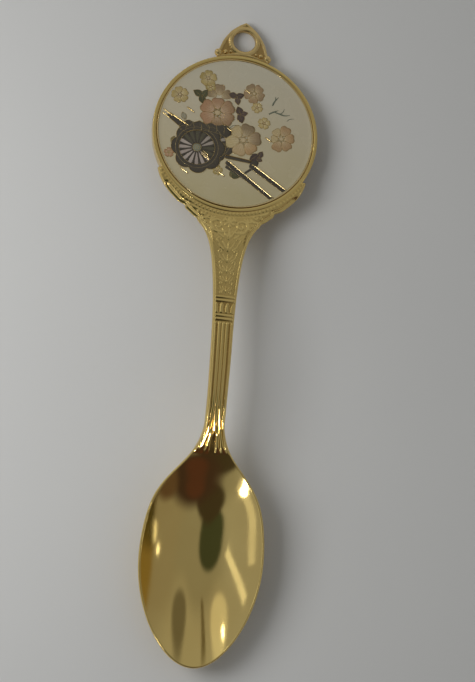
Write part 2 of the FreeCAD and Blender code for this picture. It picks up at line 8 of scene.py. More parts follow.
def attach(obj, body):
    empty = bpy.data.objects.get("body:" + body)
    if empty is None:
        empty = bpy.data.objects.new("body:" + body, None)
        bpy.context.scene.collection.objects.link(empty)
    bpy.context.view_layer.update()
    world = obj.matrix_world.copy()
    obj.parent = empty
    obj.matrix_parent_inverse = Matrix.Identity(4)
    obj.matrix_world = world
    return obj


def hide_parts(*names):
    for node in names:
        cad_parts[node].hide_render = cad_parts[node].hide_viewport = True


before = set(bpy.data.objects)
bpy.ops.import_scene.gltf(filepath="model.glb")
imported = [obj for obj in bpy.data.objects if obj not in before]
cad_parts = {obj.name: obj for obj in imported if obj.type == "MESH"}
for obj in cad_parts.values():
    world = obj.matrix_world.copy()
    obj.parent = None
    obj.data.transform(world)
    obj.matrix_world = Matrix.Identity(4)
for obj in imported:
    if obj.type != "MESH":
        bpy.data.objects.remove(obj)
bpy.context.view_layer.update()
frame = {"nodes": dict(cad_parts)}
MM = 0.001
NODES = frame["nodes"]
scene = bpy.context.scene

# =====================================================================
# shape functions of the struck blank (millimetres, st = station from the tip)
# =====================================================================
HALF_SQ = [
    0.000, 9.917, 19.644, 29.151, 38.400, 47.347, 55.940, 64.126, 71.849,
    79.052, 85.681, 91.681, 97.006, 101.612, 105.464, 108.537, 110.816,
    112.297, 112.992, 112.928, 112.148, 110.713, 108.691, 106.129, 103.027,
    99.309, 94.803, 89.262, 82.454, 74.257, 64.748, 54.296, 43.536, 33.235,
    24.129, 16.820, 11.479, 7.910, 5.685, 4.261, 3.403, 3.001, 3.007, 2.997,
    2.969, 2.976, 3.007, 3.052, 3.103, 3.155, 3.202, 3.241, 3.276, 3.309,
    3.343, 3.380, 3.423, 3.475, 3.542, 3.638, 3.772, 3.937, 4.127, 4.350,
    4.619, 4.942, 5.331, 5.803, 6.376, 7.088, 8.010, 9.231, 10.856, 13.064,
    16.222, 21.073, 28.777, 40.640, 57.268, 77.374, 98.857, 120.022, 139.279,
    154.874, 166.109, 173.594, 178.714, 182.948, 187.037, 191.176, 195.326,
    199.279, 202.689,
]
TIP_Y = -57.0            # row y of station 0
HEAD_ST, HEAD_Z, TILT = 92.55, 1.715, math.radians(6.84)
CT, SN = math.cos(TILT), math.sin(TILT)
HEAD_R, SEAT_R, HEAD_H, FLOOR_H = 14.70, 14.05, 2.30, 1.00


def natural(points):
    """Natural cubic spline as a dense table; straight beyond its ends."""
    xs = np.array([p[0] for p in points], float)
    ys = np.array([p[1] for p in points], float)
    n = len(xs)
    A = np.zeros((n, n))
    b = np.zeros(n)
    A[0, 0] = A[-1, -1] = 1
    for i in range(1, n - 1):
        h0, h1 = xs[i] - xs[i - 1], xs[i + 1] - xs[i]
        A[i, i - 1], A[i, i], A[i, i + 1] = h0, 2 * (h0 + h1), h1
        b[i] = 6 * ((ys[i + 1] - ys[i]) / h1 - (ys[i] - ys[i - 1]) / h0)
    m = np.linalg.solve(A, b)
    g = np.linspace(xs[0], xs[-1], int((xs[-1] - xs[0]) / 0.01) + 1)
    i = np.clip(np.searchsorted(xs, g, side="right") - 1, 0, n - 2)
    h = xs[i + 1] - xs[i]
    p, q = (xs[i + 1] - g) / h, (g - xs[i]) / h
    v = p * ys[i] + q * ys[i + 1] + ((p ** 3 - p) * m[i] + (q ** 3 - q) * m[i + 1]) * h * h / 6
    s0, s1 = (v[1] - v[0]) / (g[1] - g[0]), (v[-1] - v[-2]) / (g[-1] - g[-2])

    def f(x):
        x = np.asarray(x, float)
        y = np.interp(x, g, v)
        y = np.where(x < g[0], v[0] + s0 * (x - g[0]), y)
        return np.where(x > g[-1], v[-1] + s1 * (x - g[-1]), y)
    return f


def head_top(st, n):
    v = (st - HEAD_ST - n * SN) / CT
    return HEAD_Z - v * SN + n * CT


half_sq = natural([(float(i), w) for i, w in enumerate(HALF_SQ)])
SHOULDER = HEAD_H - 0.12
edge = natural([
    (0, 5.25), (6, 5.62), (12, 6.02), (18, 6.38), (24, 6.72), (30, 7.18), (34, 7.72),
    (37, 8.38), (40, 9.12), (43, 9.66), (46, 9.86), (50, 9.83), (55, 9.45), (60, 8.86),
    (65, 8.16), (70, 7.42), (74, 6.80), (77, head_top(77, SHOULDER) + 0.02),
    (80, head_top(80, SHOULDER)), (86, head_top(86, SHOULDER)), (93, head_top(93, SHOULDER)),
])
HOL = 2.0 * 5.70 / 113.0
dish = natural([
    (-3, HOL), (0, HOL), (10, HOL), (20, HOL), (28, HOL * 0.99), (33, HOL * 0.86), (36, HOL * 0.50),
    (38, HOL * 0.08), (40, -0.055), (43, -0.12), (50, -0.12), (58, -0.11), (64, -0.08),
    (69, -0.036), (73, -0.012), (77, -0.002), (80, 0.0), (93, 0.0),
])
gauge = natural([
    (-3, 1.0), (0, 1.0), (24, 1.0), (30, 1.10), (34, 1.45), (38, 2.139), (41, 2.30), (46, 2.185),
    (52, 1.961), (58, 1.85), (66, 1.7575), (74, 1.648), (80, 1.60), (93, 1.60),
])


def smooth(a, b, x):
    t = np.clip((np.asarray(x, float) - a) / (b - a), 0, 1)
    return t * t * (3 - 2 * t)


LOW = -0.3364


def lift(st):
    a = np.clip((36.0 - st) / 16.0, 0, 1)
    return (-LOW - 0.12) * a * a * (3 - 2 * a)


def top_raw(x, st):
    return edge(st) + dish(st) * (x * x - half_sq(st)) / 2.0


def top_z(x, st):
    return top_raw(x, st) + lift(st)


def under_z(x, st):
    e = 0.05
    gx = (top_raw(x + e, st) - top_raw(x - e, st)) / (2 * e)
    gs = (top_raw(x, st + e) - top_raw(x, st - e)) / (2 * e)
    w2 = np.maximum(half_sq(st), 1.0)
    a = np.clip((st - 35.0) / 6.0, 0, 1) * np.clip((76.0 - st) / 8.0, 0, 1)
    crown = 0.55 * a * np.minimum(x * x / w2, 2.2)
    return top_raw(x, st) - gauge(st) * np.sqrt(1 + gx * gx + gs * gs) + crown + lift(st)


# =====================================================================
# relief struck into the handle
# =====================================================================
def bead(t):
    """Round bead profile: 1 at t = 0, 0 at |t| = 1."""
    return np.sqrt(np.clip(1 - np.asarray(t) ** 2, 0, 1))


def stroke_field(points_list, gx, gs):
    """Height of rounded strokes. Each stroke is (points, width0, width1, height)."""
    out = np.zeros((len(gs), len(gx)))
    X, S = np.meshgrid(gx, gs)
    for pts, w0, w1, h in points_list:
        pts = np.asarray(pts, float)
        m = max(w0, w1) * 1.05
        i0, i1 = np.searchsorted(gs, [pts[:, 1].min() - m, pts[:, 1].max() + m])
        j0, j1 = np.searchsorted(gx, [pts[:, 0].min() - m, pts[:, 0].max() + m])
        if i1 <= i0 or j1 <= j0:
            continue
        xs, ss = X[i0:i1, j0:j1], S[i0:i1, j0:j1]
        best = np.full(xs.shape, -1.0)
        n = len(pts) - 1
        for k in range(n):
            p, q = pts[k], pts[k + 1]
            d = q - p
            L2 = max(d @ d, 1e-12)
            t = np.clip(((xs - p[0]) * d[0] + (ss - p[1]) * d[1]) / L2, 0, 1)
            r = np.hypot(xs - p[0] - t * d[0], ss - p[1] - t * d[1])
            w = w0 + (w1 - w0) * (k + t) / n
            best = np.maximum(best, 1 - (r / np.maximum(w, 1e-3)) ** 2)
        val = h * np.sqrt(np.clip(best, 0, 1))
        out[i0:i1, j0:j1] = np.maximum(out[i0:i1, j0:j1], val)
    return out


def arc_pts(cx, cy, r0, r1, a0, a1, n=18):
    t = np.linspace(0, 1, n)
    a = np.radians(a0 + (a1 - a0) * t)
    r = r0 + (r1 - r0) * t
    return np.c_[cx + r * np.cos(a), cy + r * np.sin(a)]


def scroll_strokes():
    """A generic acanthus scroll that climbs the shoulder, mirrored left and right."""
    S = []

    def both(pts, w0, w1, h):
        pts = np.asarray(pts, float)
        S.append((pts, w0, w1, h))
        S.append((pts * [-1, 1], w0, w1, h))

    # stacked leaves up the middle of the narrow part
    for st, k in ((63.6, 0.62), (65.3, 0.70), (67.1, 0.80), (69.0, 0.92), (71.0, 1.10), (73.2, 1.35)):
        S.append(([(0, st), (0, st + 1.35 * k)], 0.24 * k, 0.08, 0.15))
        both([(0.05, st), (0.45 * k, st + 0.45 * k), (0.95 * k, st + 1.30 * k)], 0.20 * k, 0.08, 0.13)
        both([(0.75 * k, st + 0.1), (1.35 * k, st + 0.55 * k), (1.62 * k, st + 1.35 * k)], 0.15 * k, 0.06, 0.10)
        both(arc_pts(1.15 * k, st - 0.25 * k, 0.42 * k, 0.10, -60, 250, 12), 0.12, 0.08, 0.09)
    # spirals in the flare
    both(arc_pts(2.1, 75.6, 1.35, 0.20, -110, 400, 34), 0.24, 0.14, 0.15)
    both([(0.5, 74.4), (1.2, 74.25), (2.0, 74.3)], 0.12, 0.24, 0.13)
    both(arc_pts(4.7, 77.6, 1.15, 0.18, -150, 360, 30), 0.22, 0.13, 0.14)
    both([(2.6, 76.9), (3.3, 76.5), (4.0, 76.7)], 0.20, 0.18, 0.13)
    both(arc_pts(7.4, 79.75, 0.95, 0.15, -160, 330, 26), 0.20, 0.12, 0.13)
    both([(5.7, 78.2), (6.3, 78.4), (6.9, 78.95)], 0.17, 0.17, 0.12)
    both(arc_pts(9.75, 81.7, 0.72, 0.12, -170, 300, 22), 0.17, 0.10, 0.12)
    both([(8.3, 80.1), (8.9, 80.5), (9.4, 81.0)], 0.15, 0.14, 0.11)
    # leaves that fan from the scrolls
    for cx, cy, L, a in ((3.25, 76.0, 1.3, 95), (3.0, 75.0, 1.0, 20), (5.9, 78.35, 1.2, 60), (4.2, 75.9, 0.8, -20),
                         (8.3, 79.2, 0.9, -5), (10.6, 82.4, 0.9, 60), (1.0, 76.5, 1.0, 120)):
        d = np.array([math.cos(math.radians(a)), math.sin(math.radians(a))])
        both([(cx, cy), tuple(np.array([cx, cy]) + d * L * 0.5), tuple(np.array([cx, cy]) + d * L)], 0.26, 0.05, 0.12)
    # flower under the medallion
    for k in range(6):
        a = math.radians(90 + 60 * k)
        S.append(([(0.18 * math.cos(a), 76.2 + 0.18 * math.sin(a)), (0.72 * math.cos(a), 76.2 + 0.72 * math.sin(a))], 0.16, 0.30, 0.16))
    S.append(([(0, 76.2), (0.01, 76.2)], 0.22, 0.22, 0.20))
    return S


_gx = np.arange(-13.0, 13.001, 0.05)
_gs = np.arange(62.4, 84.0, 0.05)
_field = stroke_field(scroll_strokes(), _gx, _gs)
_rng = np.random.default_rng(7)
# punched ground between the leaves
_X, _S = np.meshgrid(_gx, _gs)
_punch = 0.5 + 0.5 * np.sin(_X * 14.5 + 1.3 * np.sin(_S * 3.1)) * np.sin(_S * 13.7 + 1.1 * np.sin(_X * 2.7))
_field = np.maximum(_field, 0.035 * _punch)


def sample_field(x, st):
    fx = np.clip((x - _gx[0]) / 0.05, 0, len(_gx) - 1.001)
    fs = np.clip((st - _gs[0]) / 0.05, 0, len(_gs) - 1.001)
    j, i = fx.astype(int), fs.astype(int)
    a, b = fx - j, fs - i
    F = _field
    return (F[i, j] * (1 - a) * (1 - b) + F[i, j + 1] * a * (1 - b) + F[i + 1, j] * (1 - a) * b + F[i + 1, j + 1] * a * b)


def relief(x, st):
    """Height added to the top face, and how deep in a crevice each point lies, which later darkens the gold there as
    painted shade.
    """
    w = np.sqrt(np.maximum(half_sq(st), 0.01))
    u = x / w
    au = np.abs(u)
    # reeded stem: a round border at each side, three fine reeds between
    stem = smooth(42.6, 44.2, st) * (1 - smooth(57.9, 58.3, st))
    rb = bead((au - 0.81) / 0.185)
    rf = np.maximum.reduce([bead((u - c) / 0.150) for c in (-0.36, 0.0, 0.36)])
    h = stem * (0.17 * rb + 0.12 * rf)
    # painted shade: crev marks the valleys between reeds, neck ridges, collar lines, engraving and beads, where the
    # gold is painted darker
    crev = stem * (1 - np.clip(np.maximum(rb, rf) * 1.9, 0, 1)) * 0.85
    crev = np.maximum(crev, stem * 0.95 * smooth(0.10, 0.02, np.abs(au - 0.60)))
    # neck: ridges that fan out on to the shoulders of the bowl
    t = np.clip((43.6 - st) / 5.6, 0, 1)
    neck = smooth(35.7, 37.0, st) * (1 - smooth(42.6, 44.2, st))
    grow = 0.13 + 0.20 * smooth(42.8, 39.5, st)
    fan = [
        (0.81 + 0.07 * t, 0.175, 1.0),
        (0.36 + 0.22 * t, 0.155, 1.0),
        (0.285, 0.135, smooth(40.1, 38.9, st)),
        (0.0, 0.150, smooth(38.2, 39.7, st)),
    ]
    rr = np.maximum.reduce([bead((au - c) / k) * g for c, k, g in fan])
    h = h + neck * grow * rr
    crev = np.maximum(crev, neck * (1 - np.clip(rr * 1.8, 0, 1)) * 0.75)
    # collar: two pairs of lines with a row of upright petals between
    pair = np.maximum.reduce([bead((st - c) / 0.25) for c in (58.72, 59.36, 61.98, 62.62)])
    zone = smooth(58.1, 58.4, st) * (1 - smooth(62.85, 63.1, st))
    tt = (st - 59.68) / 2.0
    inside = ((tt > 0) & (tt < 1)).astype(float)
    cols = np.zeros_like(x)
    for c in (-0.70, -0.235, 0.235, 0.70):
        cc = c * (1 + 0.10 * tt)
        ww = 0.20 * np.sqrt(np.clip(1 - np.clip((tt - 0.45) / 0.50, 0, 1) ** 2, 0, 1)) + 1e-3
        cols = np.maximum(cols, bead((u - cc) / ww) * smooth(0.0, 0.10, tt) * (tt < 0.95))
    hc = np.maximum(0.17 * pair, inside * 0.15 * cols)
    h = np.maximum(h, zone * hc)
    crev = np.maximum(crev, zone * (1 - np.clip(hc / 0.085, 0, 1)) * 0.70)
    # engraved shoulder inside a plain raised border
    eng = smooth(62.75, 63.05, st)
    r_head = np.hypot(x, (st - HEAD_ST - 0.25) / CT)
    gap = (1 - au) * w
    border = bead((gap - 0.30) / 0.24) * (st < 82)
    inner = smooth(0.45, 0.70, gap) * smooth(15.50, 15.85, r_head)
    fld = sample_field(x, st) * inner
    h = h + eng * np.maximum(fld, 0.12 * border)
    low = (1 - np.clip(fld / 0.075, 0, 1)) * inner
    crev = np.maximum(crev, eng * low * 0.36)
    # fine beading along the foot of the bezel
    ang = np.arctan2(x, -(st - HEAD_ST - 0.25) / CT)
    pitch = math.radians(2.55)
    k = ang / pitch
    fr = (k - np.round(k)) * pitch * 15.12
    on = (np.abs(ang) < math.radians(57)) & (st > 70)
    bd = np.sqrt(np.clip(1 - (fr ** 2 + (r_head - 15.12) ** 2) / 0.30 ** 2, 0, 1)) * on
    h = h + eng * 0.11 * bd
    ring = smooth(0.50, 0.36, np.abs(r_head - 15.12)) * on
    crev = np.maximum(crev, eng * ring * (1 - np.clip(bd * 1.7, 0, 1)) * 0.35)
    return h, crev


# =====================================================================
# mesh helpers
# =====================================================================
def new_mesh(name, verts_mm, faces, smooth_shade=True, merge=0.0, attrs=None):
    me = bpy.data.meshes.new(name)
    me.from_pydata((np.asarray(verts_mm, float) * MM).tolist(), [], faces)
    for key, vals in (attrs or {}).items():
        me.attributes.new(key, "FLOAT", "POINT").data.foreach_set("value", np.asarray(vals, np.float32))
    bm = bmesh.new()
    bm.from_mesh(me)
    if merge:
        bmesh.ops.remove_doubles(bm, verts=bm.verts, dist=merge * MM)
        bmesh.ops.dissolve_degenerate(bm, edges=bm.edges, dist=merge * MM * 0.5)
    bmesh.ops.recalc_face_normals(bm, faces=bm.faces)
    bm.to_mesh(me)
    bm.free()
    me.update()
    ob = bpy.data.objects.new(name, me)
    scene.collection.objects.link(ob)
    if smooth_shade:
        me.shade_smooth()
    return ob


def head_matrix(n_mm=0.0):
    """Head frame (x, v, n in metres) to the row frame."""
    m = Matrix(((1, 0, 0), (0, CT, SN), (0, -SN, CT))).to_4x4()
    o = Vector((0, (HEAD_ST + TIP_Y + n_mm * SN) * MM, (HEAD_Z + n_mm * CT) * MM))
    m.translation = o
    return m


LUG_TURN = math.radians(1.7)


def to_head(ob, n_mm=0.0, turn=0.0):
    if turn:
        ob.data.transform(Matrix.Rotation(-turn, 4, "Z"))
    ob.data.transform(head_matrix(n_mm))
    ob.data.update()
    return ob


def revolve(name, profile, segs=256):
    """Closed profile of (radius, height) in the head's frame."""
    a = np.linspace(0, 2 * math.pi, segs, endpoint=False)
    verts, faces = [], []
    n = len(profile)
    axis = [i for i, p in enumerate(profile) if p[0] < 1e-9]
    for r, z in profile:
        verts.extend([(r * math.cos(t), r * math.sin(t), z) for t in a])
    for i in range(n - 1 if axis else n):
        j = (i + 1) % n
        for k in range(segs):
            k2 = (k + 1) % segs
            faces.append((i * segs + k, i * segs + k2, j * segs + k2, j * segs + k))
    return new_mesh(name, verts, faces, merge=1e-4)


def fillet(points, radii, steps=5):
    """Round the corners of an open or closed profile of (r, z)."""
    out = []
    n = len(points)
    for i, p in enumerate(points):
        r = radii[i]
        if r <= 0:
            out.append(p)
            continue
        a = np.array(points[i - 1], float)
        b = np.array(p, float)
        c = np.array(points[(i + 1) % n], float)
        d0, d1 = (a - b) / np.linalg.norm(a - b), (c - b) / np.linalg.norm(c - b)
        for k in range(steps + 1):
            t = k / steps
            q0, q1 = b + d0 * r, b + d1 * r
            out.append(tuple((1 - t) ** 2 * q0 + 2 * t * (1 - t) * b + t * t * q1))
    return out


# =====================================================================
# spoon blank
# =====================================================================
def build_blank():
    # stations by arc length along the outline
    stations = [0.0]
    s = 0.0
    end = 91.0
    while s < end:
        w2, dw2 = float(half_sq(s)), float(half_sq(s + 0.01) - half_sq(s)) / 0.01
        step = 0.34 if s < 33 else (0.34 - 0.22 * min((s - 33) / 3, 1))
        if s > 81:
            step = 0.2
        # arc length per station: sqrt(1 + (w2'/2w)^2)
        w = math.sqrt(max(w2, 1e-9))
        if s < 1.0:
            s = (math.sqrt(s) + step / math.sqrt(9.95)) ** 2
        else:
            s += step / math.sqrt(1 + (dw2 / (2 * w)) ** 2) if s < 30 else step
        stations.append(min(s, end))
    st = np.array(stations)
    w2 = np.maximum(half_sq(st), 0)
    w2 = np.maximum(np.sqrt(w2) - 0.55 * np.exp(-((st - 78.75) / 0.36) ** 2) - 0.22 * np.exp(-((st - 76.6) / 0.30) ** 2), 0) ** 2
    # within the head the blank stays inside the bezel wall
    lim = np.maximum(14.42 ** 2 - ((st - HEAD_ST - 0.25) / CT) ** 2, 0)
    w2 = np.where(st > 85.0, np.minimum(w2, lim), w2)
    dw2 = (half_sq(st + 0.01) - half_sq(np.maximum(st - 0.01, 0))) / np.where(st > 0.01, 0.02, 0.01 + st)
    w = np.sqrt(w2)
    nx, ns = 2 * w, -dw2
    L = np.hypot(nx, ns)
    nx, ns = nx / L, ns / L
    et, eb = 0.34 + 0.14 * smooth(71.5, 77.5, st) * (1 - smooth(81, 83, st)), 0.26
    M = 112
    u = np.linspace(-1, 1, M + 1)
    # finer near the edges
    u = np.sign(u) * (1 - (1 - np.abs(u)) ** 1.15)
    xt, stt = np.maximum(w - et * nx, 0), st - et * ns
    xb, stb = np.maximum(w - eb * nx, 0), st - eb * ns
    XT, ST = xt[:, None] * u[None], np.repeat(stt[:, None], M + 1, 1)
    XB, SB = xb[:, None] * u[None], np.repeat(stb[:, None], M + 1, 1)
    base_top = top_z(XT, ST)
    rel, crev = relief(XT, ST)
    keep = smooth(0.0, 0.12, (1 - np.abs(u))[None] * np.ones_like(XT) * xt[:, None])
    # the edge of the shoulder and its wings rolls over
    roll = (0.46 * smooth(71.0, 75.5, ST) * (1 - smooth(81.6, 82.8, ST)))
    ZT = base_top + rel * keep - roll * (1 - np.clip((1 - np.abs(u))[None] * xt[:, None] / 0.80, 0, 1)) ** 2
    crev = crev * keep
    # inside the bezel the blank is only the back plate
    r_in = np.hypot(XT, (ST - HEAD_ST - 0.25) / CT)
    sink = 1 - smooth(14.28, 14.52, r_in)
    ZT = ZT + (head_top(ST, 0.55) - ZT) * sink * (ST > 76)
    ZB = np.maximum(under_z(XB, SB), 0.0)
    rows = []
    for i in range(len(st)):
        loop = [(XT[i, j], ST[i, j], ZT[i, j]) for j in range(M + 1)]
        # right nose
        zt_e, zb_e = float(top_z(w[i], st[i])), float(under_z(w[i], st[i]))
        zm = zt_e * 0.55 + max(zb_e, 0) * 0.45
        noses = []
        for sgn in (1, -1):
            P0 = np.array([sgn * xt[i], stt[i], ZT[i, -1]])
            P3 = np.array([sgn * w[i], st[i], zm])
            P6 = np.array([sgn * xb[i], stb[i], ZB[i, -1]])
            nrm = np.array([sgn * nx[i], ns[i], 0.0])
            slope_t = (float(top_z(xt[i] + 0.05 * nx[i], stt[i] + 0.05 * ns[i])) - float(top_z(xt[i], stt[i]))) / 0.05
            dt = nrm + np.array([0, 0, slope_t - 1.1 * float(roll[i, -1])])
            k = 0.55
            q1 = P0 + dt * et[i] * k * 0.8
            q2 = P3 + np.array([0, 0, (P0[2] - zm) * k])
            r1 = P3 - np.array([0, 0, (zm - P6[2]) * k])
            r2 = P6 + nrm * eb * k
            seg = []
            for t in (0.2, 0.4, 0.6, 0.8):
                seg.append((1 - t) ** 3 * P0 + 3 * (1 - t) ** 2 * t * q1 + 3 * (1 - t) * t * t * q2 + t ** 3 * P3)
            seg.append(P3)
            for t in (0.25, 0.5, 0.75):
                seg.append((1 - t) ** 3 * P3 + 3 * (1 - t) ** 2 * t * r1 + 3 * (1 - t) * t * t * r2 + t ** 3 * P6)
            noses.append(seg)
        loop += [tuple(p) for p in noses[0]]
        loop += [(XB[i, j], SB[i, j], ZB[i, j]) for j in range(M, -1, -1)]
        loop += [tuple(p) for p in reversed(noses[1])]
        rows.append(loop)
    n = len(rows[0])
    V = np.array(rows).reshape(-1, 3)
    V[:, 1] += TIP_Y
    V[:, 2] = np.maximum(V[:, 2], 0.0)
    faces = []
    for i in range(len(rows) - 1):
        a, b = i * n, (i + 1) * n
        for k in range(n):
            k2 = (k + 1) % n
            faces.append((a + k, a + k2, b + k2, b + k))
    last = (len(rows) - 1) * n
    # painted shade: the crevice mask rides on the blank's top face as an attribute that darkens its grooves
    cv = np.zeros((len(rows), n))
    cv[:, :M + 1] = crev
    # flat cap, hidden inside the head, as quads between the top and the bottom
    top_i = list(range(last, last + M + 1))
    bot_i = [last + M + 1 + 8 + k for k in range(M + 1)][::-1]
    for k in range(M):
        faces.append((top_i[k + 1], top_i[k], bot_i[k], bot_i[k + 1]))
    rn = [last + M] + [last + M + 1 + k for k in range(8)] + [last + M + 1 + 8]
    ln = [last] + [last + n - 1 - k for k in range(8)] + [last + M + 1 + 8 + M]
    faces.append(tuple(rn))
    faces.append(tuple(reversed(ln)))
    return new_mesh("spoon_blank_struck", V, faces, merge=2e-4, attrs={"crevice": cv.reshape(-1)})


blank = build_blank()
head = revolve("blank_head", fillet(
    [(0, 0), (HEAD_R, 0), (HEAD_R, HEAD_H), (13.96, HEAD_H), (13.96, 1.9), (SEAT_R, 1.8), (SEAT_R, FLOOR_H), (0, FLOOR_H)],
    [0, 0.30, 0.27, 0.30, 0.0, 0.0, 0.05, 0], 7), 320)
to_head(head)

# =====================================================================
# materials
# =====================================================================
def material(name):
    m = bpy.data.materials.new(name)
    m.use_nodes = True
    nt = m.node_tree
    nt.nodes.clear()
    out = nt.nodes.new("ShaderNodeOutputMaterial")
    bs = nt.nodes.new("ShaderNodeBsdfPrincipled")
    nt.links.new(bs.outputs[0], out.inputs[0])
    return m, nt, bs


def add(nt, kind, **kw):
    n = nt.nodes.new(kind)
    for k, v in kw.items():
        if k.startswith("i_"):
            key = k[2:]
            n.inputs[int(key) if key.isdigit() else key.replace("_", " ")].default_value = v
        else:
            setattr(n, k, v)
    return n


def ramp(nt, stops, interp="LINEAR"):
    r = nt.nodes.new("ShaderNodeValToRGB")
    r.color_ramp.interpolation = interp
    el = r.color_ramp.elements
    while len(el) > 1:
        el.remove(el[-1])
    el[0].position, el[0].color = stops[0][0], stops[0][1]
    for p, c in stops[1:]:
        e = el.new(p)
        e.color = c
    return r


def grey(v):
    return (v, v, v, 1)


def gold_material(name, col_a, col_b, rough_a, rough_b, scratch=0.02, crevice_shade=False):
    m, nt, bs = material(name)
    tc = add(nt, "ShaderNodeTexCoord")
    # slow drift of the plating's tone
    n1 = add(nt, "ShaderNodeTexNoise", i_Scale=55.0, i_Detail=3.0)
    nt.links.new(tc.outputs["Object"], n1.inputs["Vector"])
    r1 = ramp(nt, [(0.35, (*col_a, 1)), (0.65, (*col_b, 1))])
    nt.links.new(n1.outputs["Fac"], r1.inputs[0])
    colour = r1.outputs[0]
    # handling haze and fine hairline scratches
    n2 = add(nt, "ShaderNodeTexNoise", i_Scale=160.0, i_Detail=5.0, i_Roughness=0.6)
    nt.links.new(tc.outputs["Object"], n2.inputs["Vector"])
    r2 = ramp(nt, [(0.3, grey(rough_a)), (0.7, grey(rough_b))])
    nt.links.new(n2.outputs["Fac"], r2.inputs[0])
    rough = r2.outputs[0]
    mp = add(nt, "ShaderNodeMapping")
    mp.inputs["Scale"].default_value = (9000, 700, 2500)
    mp.inputs["Rotation"].default_value = (0.1, 0.2, 0.5)
    nt.links.new(tc.outputs["Object"], mp.inputs[0])
    n3 = add(nt, "ShaderNodeTexNoise", i_Scale=1.0, i_Detail=2.0)
    nt.links.new(mp.outputs[0], n3.inputs["Vector"])
    bump = add(nt, "ShaderNodeBump", i_Strength=scratch, i_Distance=0.0001)
    nt.links.new(n3.outputs["Fac"], bump.inputs["Height"])
    nt.links.new(bump.outputs[0], bs.inputs["Normal"])
    # painted shade: the crevice attribute multiplies the plating colour toward a dark brown in grooves and recesses,
    # and raises the roughness there
    if crevice_shade:
        at = add(nt, "ShaderNodeAttribute", attribute_name="crevice")
        mix = add(nt, "ShaderNodeMix", data_type="RGBA", blend_type="MULTIPLY")
        nt.links.new(at.outputs["Fac"], mix.inputs[0])
        nt.links.new(colour, mix.inputs[6])
        mix.inputs[7].default_value = (0.50, 0.41, 0.30, 1)
        colour = mix.outputs[2]
        ma = add(nt, "ShaderNodeMath", operation="MULTIPLY_ADD")
        nt.links.new(at.outputs["Fac"], ma.inputs[0])
        ma.inputs[1].default_value = 0.22
        nt.links.new(rough, ma.inputs[2])
        rough = ma.outputs[0]
    nt.links.new(colour, bs.inputs["Base Color"])
    nt.links.new(rough, bs.inputs["Roughness"])
    bs.inputs["Metallic"].default_value = 1.0
    return m


GOLD_A, GOLD_B = (0.80, 0.585, 0.205), (0.87, 0.66, 0.245)
gold = gold_material("gold_plate", GOLD_A, GOLD_B, 0.05, 0.12, 0.03, True)


def set_material(ob, mat):
    ob.data.materials.clear()
    ob.data.materials.append(mat)


for ob in (blank, head):
    set_material(ob, gold)

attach(blank, "root")
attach(head, "root")
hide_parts("spoon_blank")
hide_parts("spoon_blank")

# =====================================================================
# medallion: pan, ground and enamel cells (head's own frame: x, v, n)
# =====================================================================
PAN_R, LIP_IN, GROUND, RIM_N = 13.92, 13.65, 2.17, 2.33
rng = np.random.default_rng(11)


def ride_as(ob, node, mats):
    ob.data.materials.clear()
    for mt in (mats if isinstance(mats, (list, tuple)) else [mats]):
        ob.data.materials.append(mt)
    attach(ob, "root")
    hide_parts(node)
    return ob


pan = revolve("medallion_pan_pressed", fillet(
    [(0, 1.10), (PAN_R, 1.10), (PAN_R, RIM_N), (LIP_IN, RIM_N), (LIP_IN, 1.45), (0, 1.45)],
    [0, 0.22, 0.135, 0.13, 0.08, 0], 8), 288)
to_head(pan)


def ground_mesh():
    rs = np.concatenate([np.linspace(0, 12.6, 40), 12.6 + 1.04 * np.linspace(0, 1, 15)[1:] ** 0.8])
    segs = 240
    a = np.linspace(0, 2 * math.pi, segs, endpoint=False)
    verts, faces = [(0, 0, GROUND)], []
    for r in rs[1:]:
        z = GROUND + 0.075 * max(0.0, (r - 12.9) / 0.74) ** 2.2
        wob = 0.004 * np.sin(a * 3 + r * 0.9) * min(r / 6, 1)
        verts += [(r * math.cos(t), r * math.sin(t), z + q) for t, q in zip(a, wob)]
    n = len(rs) - 1
    for k in range(segs):
        faces.append((0, 1 + k, 1 + (k + 1) % segs))
    for i in range(n - 1):
        p, q = 1 + i * segs, 1 + (i + 1) * segs
        for k in range(segs):
            k2 = (k + 1) % segs
            faces.append((p + k, q + k, q + k2, p + k2))
    # straight side and back
    base = len(verts)
    verts += [(LIP_IN * 0.9995 * math.cos(t), LIP_IN * 0.9995 * math.sin(t), 1.46) for t in a]
    verts.append((0, 0, 1.46))
    p = 1 + (n - 1) * segs
    for k in range(segs):
        k2 = (k + 1) % segs
        faces.append((p + k, base + k, base + k2, p + k2))
        faces.append((len(verts) - 1, base + k2, base + k))
    return to_head(new_mesh("enamel_ground_cream", verts, faces))


ground = ground_mesh()


